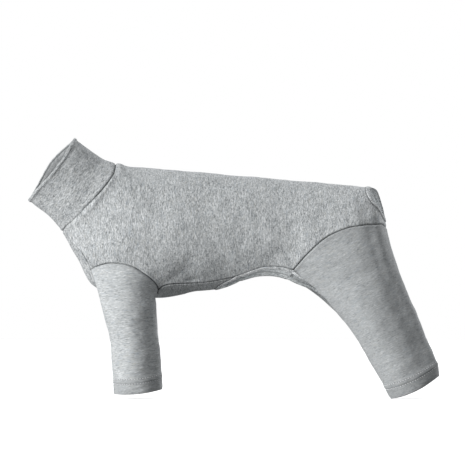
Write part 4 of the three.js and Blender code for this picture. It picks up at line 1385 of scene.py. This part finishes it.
class JUMPSUIT_OT_stage(bpy.types.Operator):
    """Make the floor, the soft lights, the surroundings and the camera"""

    bl_idname = "jumpsuit.stage"
    bl_label = "Stage"
    bl_options = {"REGISTER", "UNDO"}

    def execute(self, context):
        scene, stage = context.scene, context.scene.jumpsuit_stage
        low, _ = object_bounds()
        self.make_floor(scene, stage, low.z - 0.0005)
        self.make_world(scene, stage)
        for name, (toward, angle) in SUNS.items():
            lamp = self.add_object(scene, name, bpy.data.lights.new(name, "SUN"), Vector(toward) * 3)
            lamp.data.angle, lamp.data.energy = math.radians(angle), getattr(stage, name)
            lamp.rotation_euler = Vector(toward).to_track_quat("Z", "Y").to_euler()
        for name, (place, power) in GLOWS.items():
            glow = self.add_object(scene, name, bpy.data.lights.new(name, "POINT"), place)
            glow.data.energy, glow.data.shadow_soft_size = power * stage.inner_glow, 0.02
            glow.visible_camera = False
        cloth = bpy.data.collections.new("lit_from_below")
        for piece in scene.objects:
            if piece.name.endswith(("_cloth", "_stitching")):
                cloth.objects.link(piece)
        linking = scene.objects["low_light"].light_linking
        linking.receiver_collection = linking.blocker_collection = cloth
        lens = bpy.data.cameras.new("camera")
        lens.lens, lens.sensor_width, lens.clip_end = 1000, 36, 100
        away = stage.framed_width * lens.lens / lens.sensor_width
        camera = self.add_object(scene, "camera", lens, (stage.centre_x, -away, stage.centre_z))
        camera.rotation_euler = (math.pi / 2, 0, 0)
        scene.camera = camera
        scene.view_settings.view_transform = "Standard"
        return {"FINISHED"}

    @staticmethod
    def add_object(scene, name, data, place=(0, 0, 0)):
        made = bpy.data.objects.new(name, data)
        made.location = place
        scene.collection.objects.link(made)
        return made

    def make_floor(self, scene, stage, height):
        turn = np.linspace(0, 2 * np.pi, FLOOR_SIDES + 1)[:-1]
        rim = [(FLOOR_RADIUS * math.cos(a), FLOOR_RADIUS * math.sin(a), height) for a in turn]
        faces = [(0, k + 1, (k + 1) % FLOOR_SIDES + 1) for k in range(FLOOR_SIDES)]
        mesh = bpy.data.meshes.new("floor")
        mesh.from_pydata([(0, 0, height), *rim], [], faces)
        material, tree = new_material("pale_floor")
        tree.nodes.remove(node_of(tree, "BSDF_PRINCIPLED"))
        lit, dim = (
            add_node(tree, "ShaderNodeBsdfDiffuse", sockets={"Color": opaque(stage.floor, share)})
            for share in (1, FLOOR_BOUNCE)
        )
        glow = add_node(tree, "ShaderNodeEmission", sockets={"Strength": stage.floor_glow})
        bright = add_node(tree, "ShaderNodeAddShader", sockets={0: lit.outputs[0], 1: glow.outputs[0]})
        mix_for_camera(tree, bright, dim, "OUTPUT_MATERIAL")
        mesh.materials.append(material)
        self.add_object(scene, "floor", mesh)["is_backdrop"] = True

    @staticmethod
    def make_world(scene, stage):
        world = bpy.data.worlds.new("studio")
        world.use_nodes = True
        tree = world.node_tree
        shown, lit = (
            add_node(tree, "ShaderNodeBackground", sockets={"Color": tone, "Strength": strength})
            for tone, strength in (((1, 1, 1, 1), 1.0), ((0.97, 0.985, 1, 1), stage.ambient))
        )
        mix_for_camera(tree, shown, lit, "OUTPUT_WORLD")
        scene.world = world


class JUMPSUIT_PT_panel(bpy.types.Panel):
    """Lists the pieces and settings of the suit"""

    bl_idname = "JUMPSUIT_PT_panel"
    bl_label = "Dog jumpsuit"
    bl_space_type = "VIEW_3D"
    bl_region_type = "UI"
    bl_category = "Jumpsuit"

    def draw(self, context):
        for operator in OPERATORS:
            self.layout.operator(operator.bl_idname)
        for group in GROUPS:
            box = self.layout.box()
            settings = getattr(context.scene, group)
            for name in settings.bl_rna.properties.keys():
                if name not in ("rna_type", "name"):
                    box.prop(settings, name)


OPERATORS = (
    JUMPSUIT_OT_collar, JUMPSUIT_OT_body, JUMPSUIT_OT_belly, JUMPSUIT_OT_sleeves, JUMPSUIT_OT_legs,
    JUMPSUIT_OT_bindings, JUMPSUIT_OT_stage,
)
GROUPS = {
    "jumpsuit_sizes": JumpsuitSizes,
    "jumpsuit_colours": JumpsuitColours,
    "jumpsuit_stage": JumpsuitStage,
}


def register():
    for item in (*GROUPS.values(), *OPERATORS, JUMPSUIT_PT_panel):
        bpy.utils.register_class(item)
    for name, group in GROUPS.items():
        setattr(bpy.types.Scene, name, PointerProperty(type=group))


def unregister():
    for name in GROUPS:
        delattr(bpy.types.Scene, name)
    for item in (JUMPSUIT_PT_panel, *reversed(OPERATORS), *GROUPS.values()):
        bpy.utils.unregister_class(item)


def main():
    register()
    bpy.ops.jumpsuit.collar()
    bpy.ops.jumpsuit.body()
    bpy.ops.jumpsuit.belly()
    bpy.ops.jumpsuit.sleeves()
    bpy.ops.jumpsuit.legs()
    bpy.ops.jumpsuit.bindings()
    bpy.ops.jumpsuit.stage()


if __name__ == "__main__":
    main()
